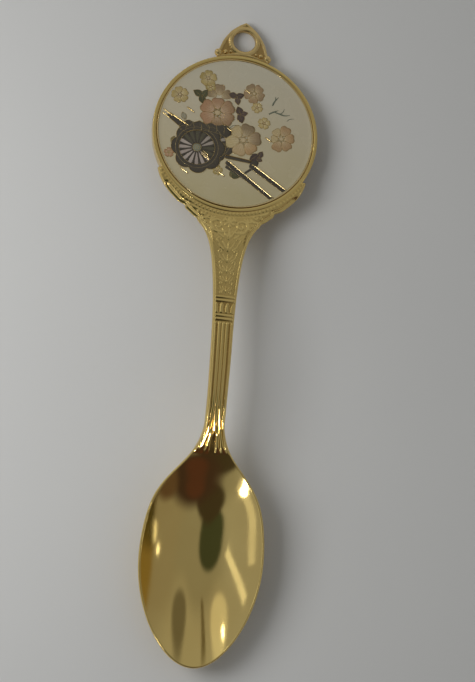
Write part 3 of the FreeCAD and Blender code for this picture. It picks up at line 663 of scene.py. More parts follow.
class Cells:
    """Collects raised enamel cells into one mesh with tone and radius attributes."""

    def __init__(self, name):
        self.name, self.v, self.f, self.tint, self.rad, self.slot = name, [], [], [], [], []

    def star(self, centre, loop, h, tint=0.5, base=GROUND - 0.012, slot=0, steps=(0.0, 0.3, 0.55, 0.75, 0.88, 0.96, 1.0), dip=0.0, toward=None):
        """A domed cell whose outline is star-shaped about its centre."""
        c = np.asarray(centre, float)
        L = np.asarray(loop, float)
        n = len(L)
        o = len(self.v)
        src = np.asarray(toward if toward is not None else centre, float)
        far = np.max(np.hypot(*(L - src).T))
        self.v.append((c[0], c[1], base + h * (1 - dip)))
        self.tint.append(tint)
        self.rad.append(np.hypot(*(c - src)) / far)
        for t in steps[1:]:
            z = base + h * (math.sqrt(max(1 - t ** 7, 0)) if t < 1 else 0.30) - h * dip * max(0, 1 - t * 1.6)
            for p in L:
                q = c + (p - c) * t
                self.v.append((q[0], q[1], z))
                self.tint.append(tint)
                self.rad.append(np.hypot(*(q - src)) / far)
        for p in L:
            self.v.append((p[0], p[1], base - 0.02))
            self.tint.append(tint)
            self.rad.append(1.0)
        m = len(steps)
        for k in range(n):
            self.f.append((o, o + 1 + k, o + 1 + (k + 1) % n))
            self.slot.append(slot)
        for i in range(m - 1):
            a, b = o + 1 + i * n, o + 1 + (i + 1) * n
            for k in range(n):
                k2 = (k + 1) % n
                self.f.append((a + k, b + k, b + k2, a + k2))
                self.slot.append(slot)
        self.v.append((c[0], c[1], base - 0.02))
        self.tint.append(tint)
        self.rad.append(0)
        a = o + 1 + (m - 1) * n
        for k in range(n):
            self.f.append((len(self.v) - 1, a + (k + 1) % n, a + k))
            self.slot.append(slot)

    def ring(self, centre, outer, inner, h, tint=0.5, base=GROUND - 0.012, slot=0):
        """A raised band between two loops with the same number of points."""
        A, B = np.asarray(outer, float), np.asarray(inner, float)
        n = len(A)
        prof = [(0.0, -0.02), (0.0, 0.30 * h), (0.07, 0.80 * h), (0.2, h), (0.5, 1.04 * h), (0.8, h), (0.93, 0.80 * h), (1.0, 0.30 * h), (1.0, -0.02)]
        o = len(self.v)
        for t, z in prof:
            for p, q in zip(A, B):
                w = p + (q - p) * t
                self.v.append((w[0], w[1], base + z))
                self.tint.append(tint)
                self.rad.append(abs(2 * t - 1))
        m = len(prof)
        for i in range(m):
            a, b = o + i * n, o + ((i + 1) % m) * n
            for k in range(n):
                k2 = (k + 1) % n
                self.f.append((a + k, a + k2, b + k2, b + k))
                self.slot.append(slot)

    def wire(self, pts, width, h, closed=False, base=GROUND - 0.012, slot=0, tint=0.5, taper=None):
        """Half-round strip along a line."""
        P = np.asarray(pts, float)
        n = len(P)
        if closed:
            d = np.roll(P, -1, 0) - np.roll(P, 1, 0)
        else:
            d = np.gradient(P, axis=0)
        d /= np.maximum(np.hypot(d[:, 0], d[:, 1]), 1e-9)[:, None]
        nn = np.c_[-d[:, 1], d[:, 0]]
        o = len(self.v)
        top = max(h - width * 0.5, h * 0.2)
        sec = [(-1, -0.02)] + [(-math.cos(q), top + (h - top) * math.sin(q)) for q in np.linspace(0, math.pi, 9)] + [(1, -0.02)]
        for i in range(n):
            w = width / 2 * (1 if taper is None else taper(i / (n - 1)))
            for a, z in sec:
                q = P[i] + nn[i] * a * w
                self.v.append((q[0], q[1], base + z))
                self.tint.append(tint)
                self.rad.append(abs(a))
        m = len(sec)
        for i in range(n if closed else n - 1):
            a, b = o + i * m, o + ((i + 1) % n) * m
            for k in range(m):
                k2 = (k + 1) % m
                self.f.append((a + k, a + k2, b + k2, b + k))
                self.slot.append(slot)
        if not closed:
            self.f.append(tuple(o + k for k in reversed(range(m))))
            self.f.append(tuple(o + (n - 1) * m + k for k in range(m)))
            self.slot += [slot, slot]

    def ridge(self, pts, width, low, slope=1.22, base=GROUND - 0.012, tint=0.8, taper=None):
        """Strip with two flat flanks that meet in a narrow crown."""
        P = np.asarray(pts, float)
        n = len(P)
        d = np.gradient(P, axis=0)
        d /= np.maximum(np.hypot(d[:, 0], d[:, 1]), 1e-9)[:, None]
        nn = np.c_[-d[:, 1], d[:, 0]]
        o = len(self.v)
        sec = [(-1, None), (-1, 0.0), (-0.9, 0.10), (-0.2, 0.80), (-0.08, 0.89), (0.08, 0.89), (0.2, 0.80), (0.9, 0.10), (1, 0.0), (1, None)]
        m = len(sec)
        for i in range(n):
            w = width / 2 * (1 if taper is None else taper(i / (n - 1)))
            for a, z in sec:
                q = P[i] + nn[i] * a * w
                self.v.append((q[0], q[1], base - 0.02 if z is None else base + low + z * slope * w))
                self.tint.append(tint)
                self.rad.append(abs(a))
        for i in range(n - 1):
            a, b = o + i * m, o + (i + 1) * m
            for k in range(m):
                k2 = (k + 1) % m
                self.f.append((a + k, a + k2, b + k2, b + k))
                self.slot.append(0)
        self.f.append(tuple(o + k for k in reversed(range(m))))
        self.f.append(tuple(o + (n - 1) * m + k for k in range(m)))
        self.slot += [0, 0]

    def done(self):
        ob = new_mesh(self.name, self.v, self.f, attrs={"tint": self.tint, "rad": self.rad})
        ob.data.polygons.foreach_set("material_index", self.slot) if max(self.slot) else None
        return to_head(ob)


def circle(cx, cy, r, n=48, a0=0.0):
    t = np.linspace(0, 2 * math.pi, n, endpoint=False) + a0
    return np.c_[cx + r * np.cos(t), cy + r * np.sin(t)]


def spline_loop(pts, n=60):
    """Closed Catmull-Rom loop through the points."""
    P = np.asarray(pts, float)
    m = len(P)
    out = []
    per = max(2, n // m)
    for i in range(m):
        p0, p1, p2, p3 = P[i - 1], P[i], P[(i + 1) % m], P[(i + 2) % m]
        for t in np.linspace(0, 1, per, endpoint=False):
            out.append(0.5 * ((2 * p1) + (p2 - p0) * t + (2 * p0 - 5 * p1 + 4 * p2 - p3) * t * t + (3 * p1 - p0 - 3 * p2 + p3) * t ** 3))
    return np.array(out)


def spline_line(pts, n=30):
    P = np.asarray(pts, float)
    P = np.vstack([2 * P[0] - P[1], P, 2 * P[-1] - P[-2]])
    out = []
    m = len(P) - 3
    per = max(2, n // m)
    for i in range(m):
        p0, p1, p2, p3 = P[i], P[i + 1], P[i + 2], P[i + 3]
        for t in np.linspace(0, 1, per, endpoint=(i == m - 1)):
            out.append(0.5 * ((2 * p1) + (p2 - p0) * t + (2 * p0 - 5 * p1 + 4 * p2 - p3) * t * t + (3 * p1 - p0 - 3 * p2 + p3) * t ** 3))
    return np.array(out)


def petal_loop(cx, cy, ang, r0, r1, half, notch=0.10, n=44, skew=0.0):
    """Rounded petal from r0 to r1 along ang, with a shallow notch in its tip."""
    phi = np.linspace(0, 2 * math.pi, n, endpoint=False)
    mid, ax = (r0 + r1) / 2, (r1 - r0) / 2
    u = mid + ax * np.cos(phi) - notch * (r1 - r0) * np.exp(-((np.minimum(phi, 2 * math.pi - phi)) / 0.34) ** 2)
    w = half * np.sin(phi) * (1 + 0.34 * np.cos(phi)) * np.abs(np.sin(phi)) ** 0.0001
    w = w + skew * np.cos(phi) * half
    return np.c_[cx + u * math.cos(ang) - w * math.sin(ang), cy + u * math.sin(ang) + w * math.cos(ang)]


WIRES = Cells("gold_wires_laid")
HEARTS = []


def clip_r(loop, rmax=13.50):
    L = np.asarray(loop, float)
    r = np.hypot(L[:, 0], L[:, 1])
    k = np.minimum(1, rmax / np.maximum(r, 1e-9))
    return L * k[:, None]


def blossom(cells, cx, cy, r, tints, turn=0.0, h=0.085, half=None, outline=True, heart=True, base=GROUND - 0.012, r0=0.20, scale=None, only=None):
    n = len(tints)
    for i, tint in enumerate(tints):
        if only is not None and i not in only:
            continue
        a = turn + 2 * math.pi * i / n
        k = (scale[i] if scale else 1.0)
        hw = (half or 0.62 * math.pi / n * 0.98) * r * k
        loop = clip_r(petal_loop(cx, cy, a, r * r0, r * k, hw, skew=0.06 * math.sin(3.1 * i + turn)))
        c = np.mean(loop, axis=0)
        cells.star(c, loop, h * (1 + 0.10 * math.sin(i * 2.3 + cx)), tint, base, toward=(cx, cy))
        if r * k > 1.45:
            e, f = np.array([math.cos(a), math.sin(a)]), np.array([-math.sin(a), math.cos(a)])
            for q in (-0.55, -0.2, 0.18, 0.52):
                line = [np.array([cx, cy]) + e * r * k * u + f * q * hw * math.sin(math.pi * min(u * 0.62 + 0.05, 1)) for u in (0.34, 0.5, 0.66, 0.80 - 0.08 * abs(q))]
                WIRES.wire(clip_r(spline_line(line, 9)), 0.032, h * 1.02 + 0.022 + (base - GROUND + 0.012), tint=0.3, taper=lambda t: 1 - 0.7 * t)
        if outline:
            WIRES.wire(loop, 0.040, h * 0.98 + (base - GROUND + 0.012), True, tint=0.3)
    if heart:
        HEARTS.append((cx, cy, r, base + h))


def leaf_loop(cx, cy, length, width, ang, n=36, point=0.75):
    t = np.linspace(0, 2 * math.pi, n, endpoint=False)
    u = length / 2 * np.cos(t)
    w = width / 2 * np.sin(t) * (1 - point * np.clip(np.cos(t), 0, 1) ** 2) * (1 - 0.25 * np.clip(-np.cos(t), 0, 1))
    return np.c_[cx + u * math.cos(ang) - w * math.sin(ang), cy + u * math.sin(ang) + w * math.cos(ang)]


def leaf(cells, cx, cy, length, width, ang, tint=0.5, h=0.08, vein=True, base=GROUND - 0.012):
    loop = clip_r(leaf_loop(cx, cy, length, width, ang))
    cells.star((cx, cy), loop, h, tint, base)
    WIRES.wire(loop, 0.045, h * 0.98, True, tint=0.3)
    if vein:
        e = np.array([math.cos(ang), math.sin(ang)])
        a, b = np.array([cx, cy]) - e * length * 0.42, np.array([cx, cy]) + e * length * 0.42
        WIRES.wire(spline_line([a, (a + b) / 2 + np.array([-e[1], e[0]]) * 0.06, b], 12), 0.05, h + 0.03, tint=0.3, taper=lambda t: 1 - 0.6 * t)


def lerp(a, b, t):
    return a + (b - a) * t


coral = Cells("blossoms_coral_cells")
peach = Cells("blossoms_peach_cells")
yellow = Cells("blossoms_yellow_cells")
plum = Cells("leaves_plum_cells")
green = Cells("leaves_green_cells")
sprigs = Cells("sprigs_cells")
wheel_f = Cells("cart_wheel_front_cells")
wheel_r = Cells("cart_wheel_rear_cells")
shafts = Cells("cart_shafts_cells")
bed = Cells("cart_bed_cells")


# ---- wheels -----------------------------------------------------------
def wheel(cells, cx, cy, r_in, r_out, lobes, spokes, h, base, turn, hub=0.85, shift=(0.0, 0.0)):
    n = 8 * spokes
    t = np.linspace(0, 2 * math.pi, n, endpoint=False)
    ro = r_out * (1 - 0.165 * (1 - np.abs(np.cos(lobes * (t - turn) / 2)) ** 0.62))
    outer = clip_r(np.c_[cx + ro * np.cos(t), cy + ro * np.sin(t)])
    cx, cy = cx + shift[0], cy + shift[1]
    inner = np.c_[cx + r_in * np.cos(t), cy + r_in * np.sin(t)]
    cells.ring((cx, cy), outer, inner, h, 0.25, base)
    WIRES.wire(outer, 0.05, h + 0.01 + base - GROUND + 0.012, True, tint=0.2)
    WIRES.wire(circle(cx, cy, r_in + 0.06, 72), 0.06, h + 0.02 + base - GROUND + 0.012, True, tint=0.6)
    WIRES.wire(circle(cx, cy, (r_in + r_out * 0.90) / 2 + 0.05, 72), 0.045, h + 0.015 + base - GROUND + 0.012, True, tint=0.3)
    # glass between the spokes: pale below the axle, dark above it
    for i in range(spokes):
        a = turn + 2 * math.pi * i / spokes
        low = math.sin(a + 0.25) < 0.28
        near = 0.24 < math.sin(a) < 0.80 and math.cos(a) > 0
        low = low and not (math.cos(a) > 0.78 and math.sin(a) < 0.24)
        wedge = [(cx, cy)]
        for q in np.linspace(-0.5, 0.5, 9):
            b = a + q * 2 * math.pi / spokes
            wedge.append((cx + (r_in + 0.05) * math.cos(b), cy + (r_in + 0.05) * math.sin(b)))
        mid = (cx + 0.6 * r_in * math.cos(a), cy + 0.6 * r_in * math.sin(a))
        cells.star(mid, np.array(wedge), h * 0.45, 0.90 if near else (0.97 + 0.03 * math.sin(5 * a)) if low else 0.56, base, steps=(0.0, 0.6, 0.92, 1.0))
    # spokes, wide at the felloe and waisted toward the hub
    for i in range(spokes):
        a = turn + 2 * math.pi * (i + 0.5) / spokes
        e, f = np.array([math.cos(a), math.sin(a)]), np.array([-math.sin(a), math.cos(a)])
        pts = []
        for s, w in ((hub * 0.75, 0.17), (hub + 0.5, 0.13), (lerp(hub, r_in, 0.55), 0.165), (lerp(hub, r_in, 0.85), 0.235), (r_in + 0.12, 0.34)):
            pts.append((s, w))
        loop = [(cx, cy) + e * s + f * w for s, w in pts] + [(cx, cy) + e * s - f * w for s, w in reversed(pts)]
        mid = np.array([cx, cy]) + e * lerp(hub, r_in, 0.5)
        cells.star(mid, np.array(loop), h * 0.92, 0.2, base, steps=(0.0, 0.5, 0.8, 0.94, 1.0))
    cells.star((cx, cy), circle(cx, cy, hub, 40), h * 1.25, 0.80, base, dip=0.15)
    WIRES.wire(circle(cx, cy, hub, 48), 0.07, h * 1.3 + 0.012 + base - GROUND + 0.012, True, tint=0.6)
    WIRES.wire(circle(cx, cy, hub * 0.42, 30), 0.06, h * 1.35 + 0.012 + base - GROUND + 0.012, True, tint=0.8)


FX, FY = -6.42, -3.50
RX, RY = -3.75, -2.15
wheel(wheel_r, RX, RY, 2.35, 3.75, 8, 12, 0.055, GROUND - 0.012, 0.35, 0.75)
wheel(wheel_f, FX, FY, 3.12, 4.80, 8, 16, 0.075, GROUND + 0.045, math.radians(2), 0.74, (-0.22, -0.08))

# ---- cart bed and hung cloth -------------------------------------------
bed_loop = spline_loop([(-10.0, -0.2), (-9.6, 0.7), (-8.5, 1.35), (-7.4, 1.0), (-6.5, 1.45), (-5.4, 0.95), (-4.3, 1.35), (-3.1, 0.95), (-2.0, 1.25), (-1.0, 0.6),
                        (-0.75, -0.5), (-1.6, -1.2), (-3.0, -0.6), (-5.2, -0.3), (-7.2, -0.35), (-8.8, -0.9)], 96)
bed.star((-5.4, 0.35), bed_loop, 0.085, 0.35, GROUND + 0.04)
WIRES.wire(bed_loop, 0.05, 0.085 + 0.06, True, tint=0.3)
for k in range(6):
    x0 = -8.9 + 1.35 * k
    WIRES.wire(spline_line([(x0, 0.85), (x0 + 0.15, 0.2), (x0 + 0.05, -0.45)], 8), 0.05, 0.155, tint=0.4)

# ---- shafts -------------------------------------------------------------
def plank(p, q, w0, w1, tint=0.2, h=0.085, edge=True, base=GROUND - 0.012, round_end=0.3):
    p, q = np.asarray(p, float), np.asarray(q, float)
    d = (q - p) / np.hypot(*(q - p))
    f = np.array([-d[1], d[0]])
    L = np.hypot(*(q - p))
    up, dn = [], []
    for t in np.linspace(0, 1, 26):
        w = lerp(w0, w1, t) / 2
        e = min(t, 1 - t) * L
        k = math.sqrt(min(e / (round_end * 0.5), 1)) if round_end else 1
        up.append(p + d * L * t + f * w * max(k, 0.55))
        dn.append(p + d * L * t - f * w * max(k, 0.55))
    # clip at the lip
    def clip(seq):
        return [s if np.hypot(*s) < 13.50 else s * (13.50 / np.hypot(*s)) for s in seq]
    up, dn = clip(up), clip(dn)
    o = len(shafts.v)
    sec = []
    for a, b in zip(up, dn):
        m = (a + b) / 2
        sec.append([(*a, base - 0.02), (*a, base + 0.3 * h), (*(m + (a - m) * 0.86), base + 0.85 * h), (*(m + (a - m) * 0.5), base + h),
                    (*(m + (b - m) * 0.5), base + h), (*(m + (b - m) * 0.86), base + 0.85 * h), (*b, base + 0.3 * h), (*b, base - 0.02)])
    for row in sec:
        for v in row:
            shafts.v.append(v)
            shafts.tint.append(tint)
            shafts.rad.append(0.5)
    for i in range(len(sec) - 1):
        for k in range(8):
            k2 = (k + 1) % 8
            shafts.f.append((o + i * 8 + k, o + i * 8 + k2, o + (i + 1) * 8 + k2, o + (i + 1) * 8 + k))
            shafts.slot.append(0)
    shafts.f.append(tuple(o + k for k in reversed(range(8))))
    shafts.f.append(tuple(o + (len(sec) - 1) * 8 + k for k in range(8)))
    shafts.slot += [0, 0]
    if edge:
        U, D = np.array(up), np.array(dn)
        WIRES.ridge(U + f * 0.01, 0.18, h + 0.01, tint=0.9)
        WIRES.wire(D - f * 0.02, 0.06, h + 0.02, tint=0.4)


plank((3.10, -5.86), (9.95, -10.30), 0.86, 0.70)
plank((-1.35, -5.62), (7.80, -12.10), 0.84, 0.62)
plank((-1.30, -6.35), (2.10, -8.40), 0.80, 0.36, tint=0.3, edge=False)
plank((2.10, -7.35), (3.60, -6.10), 0.42, 0.42, tint=0.3, edge=False)
plank((-1.6, -4.66), (3.05, -5.18), 0.60, 0.52, tint=0.35)
plank((-12.15, 2.08), (-8.6, -0.25), 0.72, 1.25, tint=0.25)
WIRES.ridge(spline_line([(-13.0, 2.95), (-12.1, 2.36), (-11.2, 1.78)], 14), 0.21, 0.07, tint=0.9)
WIRES.ridge(spline_line([(-13.15, 2.25), (-12.5, 1.83), (-11.8, 1.37)], 14), 0.21, 0.07, tint=0.9)
# dark knot where the crossbar meets the shafts
shafts.star((3.65, -5.60), spline_loop([(2.85, -5.6), (3.3, -4.95), (4.1, -4.6), (4.45, -5.2), (4.1, -6.0), (3.4, -6.55), (2.85, -6.2)], 42), 0.10, 0.25)

# ---- blossoms, back to front ---------------------------------------------
# tan blossom behind the large coral one
blossom(peach, -3.35, 6.15, 2.75, [1.0, 0.92, 1.0, 0.85, 0.9, 0.95], turn=math.radians(30), h=0.055, heart=False, only=(0, 1, 2), scale=[0.92, 1.02, 0.92, 1, 1, 1])
blossom(coral, -3.45, 3.35, 3.35, [0.75, 0.55, 0.30, 0.45, 0.95, 0.85], turn=math.radians(32), h=0.095, base=GROUND + 0.02, scale=[1.0, 0.88, 1.0, 0.98, 0.90, 0.98], half=0.36)
blossom(coral, -11.45, -5.05, 0.95, [0.15, 0.3, 0.2, 0.4, 0.25], turn=0.4, h=0.06)
# blossom right of the middle, pale on the left, brown above
blossom(peach, 1.45, -1.20, 3.35, [0.95, 1.0, 0.10, 0.05, 0.30, 0.55], turn=math.radians(12), h=0.09, scale=[1.0, 0.98, 0.92, 1.02, 0.95, 0.92], half=0.36)
# blossom at the right
blossom(peach, 8.20, -0.15, 2.65, [0.62, 0.68, 0.12, 0.10, 0.66, 0.70], turn=math.radians(8), h=0.075, scale=[0.92, 1.0, 0.82, 0.72, 1.0, 0.95], half=0.34)
# tan-pink blossom at the top right
blossom(peach, 2.85, 7.80, 1.95, [0.80, 0.90, 0.85, 0.75, 0.88], turn=math.radians(50), h=0.075, half=0.40)
blossom(yellow, 3.55, 5.20, 1.05, [0.35, 0.5, 0.4, 0.45, 0.5], turn=0.9, h=0.065)
blossom(yellow, -5.50, 9.70, 1.60, [0.60, 0.75, 0.85, 0.70, 0.65], turn=0.3, h=0.075, half=0.40)
blossom(yellow, -4.95, 8.15, 1.00, [0.95, 0.9, 1.0, 0.9, 0.95], turn=0.9, h=0.06)
blossom(yellow, -10.30, 5.95, 1.60, [0.45, 0.55, 0.65, 0.5, 0.6], turn=0.6, h=0.075, half=0.40)
blossom(yellow, 4.95, 2.40, 1.15, [0.35, 0.45, 0.40, 0.5, 0.45], turn=0.2, h=0.07)
blossom(yellow, -2.75, -7.35, 0.95, [0.80, 0.9, 0.85, 0.95, 0.9], turn=0.2, h=0.06)

# ---- leaves ---------------------------------------------------------------
leaf(green, -7.05, 6.65, 2.1, 1.30, math.radians(155), 0.15)
leaf(green, -5.95, 6.65, 2.0, 1.20, math.radians(60), 0.3)
leaf(green, -6.35, 5.65, 1.9, 1.25, math.radians(-75), 0.1)
leaf(green, 0.30, -8.05, 1.9, 1.15, math.radians(-10), 0.25)
leaf(green, -0.25, -7.65, 1.2, 0.75, math.radians(100), 0.4)
leaf(green, -10.95, -2.55, 1.3, 0.80, math.radians(70), 0.8)
leaf(green, -9.35, 2.05, 1.5, 0.95, math.radians(115), 1.0)
leaf(plum, -0.85, 7.00, 1.9, 1.20, math.radians(170), 0.4)
leaf(plum, 0.25, 7.00, 2.0, 1.15, math.radians(25), 0.2)
leaf(plum, 0.0, 6.10, 1.7, 1.05, math.radians(-80), 0.5)
leaf(plum, 0.45, 4.15, 1.9, 1.35, math.radians(115), 0.2)
leaf(plum, 0.75, 2.85, 1.9, 1.40, math.radians(-70), 0.3)
leaf(plum, 1.25, 3.75, 1.5, 0.95, math.radians(20), 0.5)
leaf(plum, 3.70, -4.20, 2.2, 1.50, math.radians(40), 0.1)
leaf(plum, 4.65, -3.60, 1.5, 1.05, math.radians(65), 0.3)
leaf(plum, 4.55, -4.55, 1.1, 0.80, math.radians(-20), 0.4)


# ---- sprigs -----------------------------------------------------------------
def sprig(pts, w=0.27, h=0.07):
    sprigs.wire(spline_line(pts, 18), w, h, tint=0.5, taper=lambda t: 0.35 + 0.65 * math.sin(math.pi * min(t + 0.12, 1)) ** 0.5)


sprig([(5.70, 4.25), (6.5, 4.75), (7.35, 5.15)])
sprig([(6.6, 4.80), (7.7, 4.50), (8.6, 4.32), (9.45, 4.50)])
sprig([(7.7, 4.50), (8.2, 4.95), (8.45, 5.6)], 0.16)
sprig([(6.25, 5.95), (6.6, 6.75), (7.25, 7.65)])
sprig([(6.55, 6.65), (6.75, 7.2), (6.7, 7.7)], 0.16)
sprig([(9.0, 3.3), (9.5, 3.75), (10.3, 3.9)], 0.11)
sprig([(-1.05, 0.75), (-0.6, 1.25), (0.0, 1.45)], 0.11)
# loose gold strokes between the blossoms
for p in ([(-8.7, 3.75), (-8.2, 3.35), (-7.75, 2.95)], [(5.55, -0.20), (5.9, -0.55), (6.2, -0.95)], [(-1.5, 0.75), (-1.1, 0.45), (-0.75, 0.15)],
          [(1.3, 8.4), (1.75, 8.05), (2.0, 7.7)], [(-5.5, -4.6), (-4.95, -5.15), (-4.5, -5.7)], [(-9.1, -7.6), (-8.6, -8.0), (-8.1, -8.5)],
          [(-2.5, -7.5), (-2.1, -7.9), (-1.7, -8.35)]):
    mid, half_l = (np.array(p[0]) + np.array(p[-1])) / 2, math.hypot(p[0][0] - p[-1][0], p[0][1] - p[-1][1]) * 0.68
    e = np.array([math.cos(math.radians(-33.5)), math.sin(math.radians(-33.5))])
    WIRES.ridge([mid + e * half_l * q for q in (-1, -0.75, -0.5, -0.2, 0.2, 0.5, 0.75, 1)], 0.17, 0.12, tint=1.0, taper=lambda t: 0.45 + 0.55 * math.sin(math.pi * t) ** 0.4)

for x0, v0, half_l, low in ((-5.15, -4.72, 0.85, 0.17), (-5.30, -5.02, 0.80, 0.17), (-5.00, -4.42, 0.75, 0.17), (-4.85, -4.95, 0.55, 0.17)):
    e = np.array([math.cos(math.radians(-35)), math.sin(math.radians(-35))])
    WIRES.ridge([np.array([x0, v0]) + e * half_l * q for q in (-1, -0.7, -0.3, 0.3, 0.7, 1)], 0.13, low, tint=1.0, taper=lambda t: 0.5 + 0.5 * math.sin(math.pi * t) ** 0.5)

# ---- hearts: a pale boss ringed with gold grains ------------------------------
hearts = Cells("blossom_hearts")
for cx, cy, r, top in HEARTS:
    hr = 0.155 * r
    hearts.star((cx, cy), circle(cx, cy, hr, 28), 0.055, 0.5, top - 0.05)
    m = 7 if r > 2 else 5
    for k in range(m):
        a = 2 * math.pi * (k + 0.3) / m
        px, py = cx + 1.55 * hr * math.cos(a), cy + 1.55 * hr * math.sin(a)
        WIRES.star((px, py), circle(px, py, 0.055 + 0.012 * r, 10), top - GROUND + 0.045, 0.8, steps=(0.0, 0.5, 0.8, 1.0))
        WIRES.wire([(cx + hr * 0.9 * math.cos(a), cy + hr * 0.9 * math.sin(a)), (px, py)], 0.045, top - GROUND + 0.03, tint=0.6)
    WIRES.wire(circle(cx, cy, hr, 28), 0.05, top - GROUND + 0.035, True, tint=0.7)


# =====================================================================
# enamel materials
# =====================================================================
ENAMEL_GAIN = 1.30


def enamel(name, stops, rim=(0.62, 0.60, 0.55), mottle=0.16, rough=0.20, pale=None):
    m, nt, bs = material(name)
    tc = add(nt, "ShaderNodeTexCoord")
    tint = add(nt, "ShaderNodeAttribute", attribute_name="tint")
    rad = add(nt, "ShaderNodeAttribute", attribute_name="rad")
    n1 = add(nt, "ShaderNodeTexNoise", i_Scale=900.0, i_Detail=4.0, i_Roughness=0.62)
    nt.links.new(tc.outputs["Object"], n1.inputs["Vector"])
    ma = add(nt, "ShaderNodeMath", operation="MULTIPLY_ADD")
    nt.links.new(n1.outputs["Fac"], ma.inputs[0])
    ma.inputs[1].default_value = mottle * 2
    sub = add(nt, "ShaderNodeMath", operation="SUBTRACT")
    nt.links.new(tint.outputs["Fac"], sub.inputs[0])
    sub.inputs[1].default_value = mottle
    nt.links.new(sub.outputs[0], ma.inputs[2])
    rp = ramp(nt, [(p, (*(min(q * ENAMEL_GAIN, 0.9) for q in c), 1)) for p, c in stops])
    nt.links.new(ma.outputs[0], rp.inputs[0])
    if pale:
        # petals lighten toward the heart, with a ragged boundary
        sh = add(nt, "ShaderNodeMath", operation="MULTIPLY_ADD")
        nt.links.new(n1.outputs["Fac"], sh.inputs[0])
        sh.inputs[1].default_value = 0.30
        nt.links.new(rad.outputs["Fac"], sh.inputs[2])
        fade = ramp(nt, [(0.30, grey(0.85)), (0.62, grey(0.35)), (0.90, grey(0.0))])
        nt.links.new(sh.outputs[0], fade.inputs[0])
        tone = add(nt, "ShaderNodeMix", data_type="RGBA")
        nt.links.new(fade.outputs[0], tone.inputs[0])
        nt.links.new(rp.outputs[0], tone.inputs[6])
        tone.inputs[7].default_value = (*(min(q * ENAMEL_GAIN, 0.9) for q in pale), 1)
        rp = tone
    # painted shade and highlight: each cell is painted darker toward its edge against the wires and a little brighter
    # at its middle
    rr = ramp(nt, [(0.0, (1.10, 1.08, 1.04, 1)), (0.45, (1, 1, 1, 1)), (0.86, (0.90, 0.88, 0.85, 1)), (1.0, (*rim, 1))])
    nt.links.new(rad.outputs["Fac"], rr.inputs[0])
    mix = add(nt, "ShaderNodeMix", data_type="RGBA", blend_type="MULTIPLY")
    mix.inputs[0].default_value = 1.0
    nt.links.new(rp.outputs[2] if pale else rp.outputs[0], mix.inputs[6])
    nt.links.new(rr.outputs[0], mix.inputs[7])
    nt.links.new(mix.outputs[2], bs.inputs["Base Color"])
    n2 = add(nt, "ShaderNodeTexNoise", i_Scale=1400.0, i_Detail=2.0)
    nt.links.new(tc.outputs["Object"], n2.inputs["Vector"])
    r2 = ramp(nt, [(0.35, grey(rough)), (0.7, grey(rough + 0.14))])
    nt.links.new(n2.outputs["Fac"], r2.inputs[0])
    nt.links.new(r2.outputs[0], bs.inputs["Roughness"])
    bump = add(nt, "ShaderNodeBump", i_Strength=0.12, i_Distance=0.00004)
    nt.links.new(n1.outputs["Fac"], bump.inputs["Height"])
    nt.links.new(bump.outputs[0], bs.inputs["Normal"])
    bs.inputs["Specular IOR Level"].default_value = 0.5
    return m


def cream_material():
    m, nt, bs = material("enamel_cream_fired")
    tc = add(nt, "ShaderNodeTexCoord")
    sep = add(nt, "ShaderNodeSeparateXYZ")
    nt.links.new(tc.outputs["Object"], sep.inputs[0])
    # slow drift from cool cream at the top to a greener cream at the foot
    mr = add(nt, "ShaderNodeMapRange")
    mr.inputs["From Min"].default_value = 0.0220
    mr.inputs["From Max"].default_value = 0.0470
    nt.links.new(sep.outputs["Y"], mr.inputs["Value"])
    n1 = add(nt, "ShaderNodeTexNoise", i_Scale=170.0, i_Detail=3.0)
    nt.links.new(tc.outputs["Object"], n1.inputs["Vector"])
    ma = add(nt, "ShaderNodeMath", operation="MULTIPLY_ADD")
    nt.links.new(n1.outputs["Fac"], ma.inputs[0])
    ma.inputs[1].default_value = 0.45
    nt.links.new(mr.outputs[0], ma.inputs[2])
    sub = add(nt, "ShaderNodeMath", operation="SUBTRACT")
    nt.links.new(ma.outputs[0], sub.inputs[0])
    sub.inputs[1].default_value = 0.22
    rp = ramp(nt, [(0.0, (*CREAM_LOW, 1)), (0.30, (*CREAM_MID, 1)), (0.75, (*CREAM_TOP, 1)), (1.0, (*CREAM_TOP2, 1))])
    nt.links.new(sub.outputs[0], rp.inputs[0])
    # pin holes and specks in the firing
    vo = add(nt, "ShaderNodeTexVoronoi", i_Scale=1100.0)
    nt.links.new(tc.outputs["Object"], vo.inputs["Vector"])
    vr = ramp(nt, [(0.0, (0.82, 0.80, 0.76, 1)), (0.10, (1, 1, 1, 1))])
    nt.links.new(vo.outputs["Distance"], vr.inputs[0])
    mix = add(nt, "ShaderNodeMix", data_type="RGBA", blend_type="MULTIPLY")
    mix.inputs[0].default_value = 0.55
    nt.links.new(rp.outputs[0], mix.inputs[6])
    nt.links.new(vr.outputs[0], mix.inputs[7])
    nt.links.new(mix.outputs[2], bs.inputs["Base Color"])
    n2 = add(nt, "ShaderNodeTexNoise", i_Scale=420.0, i_Detail=3.0)
    nt.links.new(tc.outputs["Object"], n2.inputs["Vector"])
    r2 = ramp(nt, [(0.35, grey(0.20)), (0.7, grey(0.32))])
    nt.links.new(n2.outputs["Fac"], r2.inputs[0])
    nt.links.new(r2.outputs[0], bs.inputs["Roughness"])
    bump = add(nt, "ShaderNodeBump", i_Strength=0.10, i_Distance=0.00008)
    nt.links.new(n2.outputs["Fac"], bump.inputs["Height"])
    nt.links.new(bump.outputs[0], bs.inputs["Normal"])
    return m


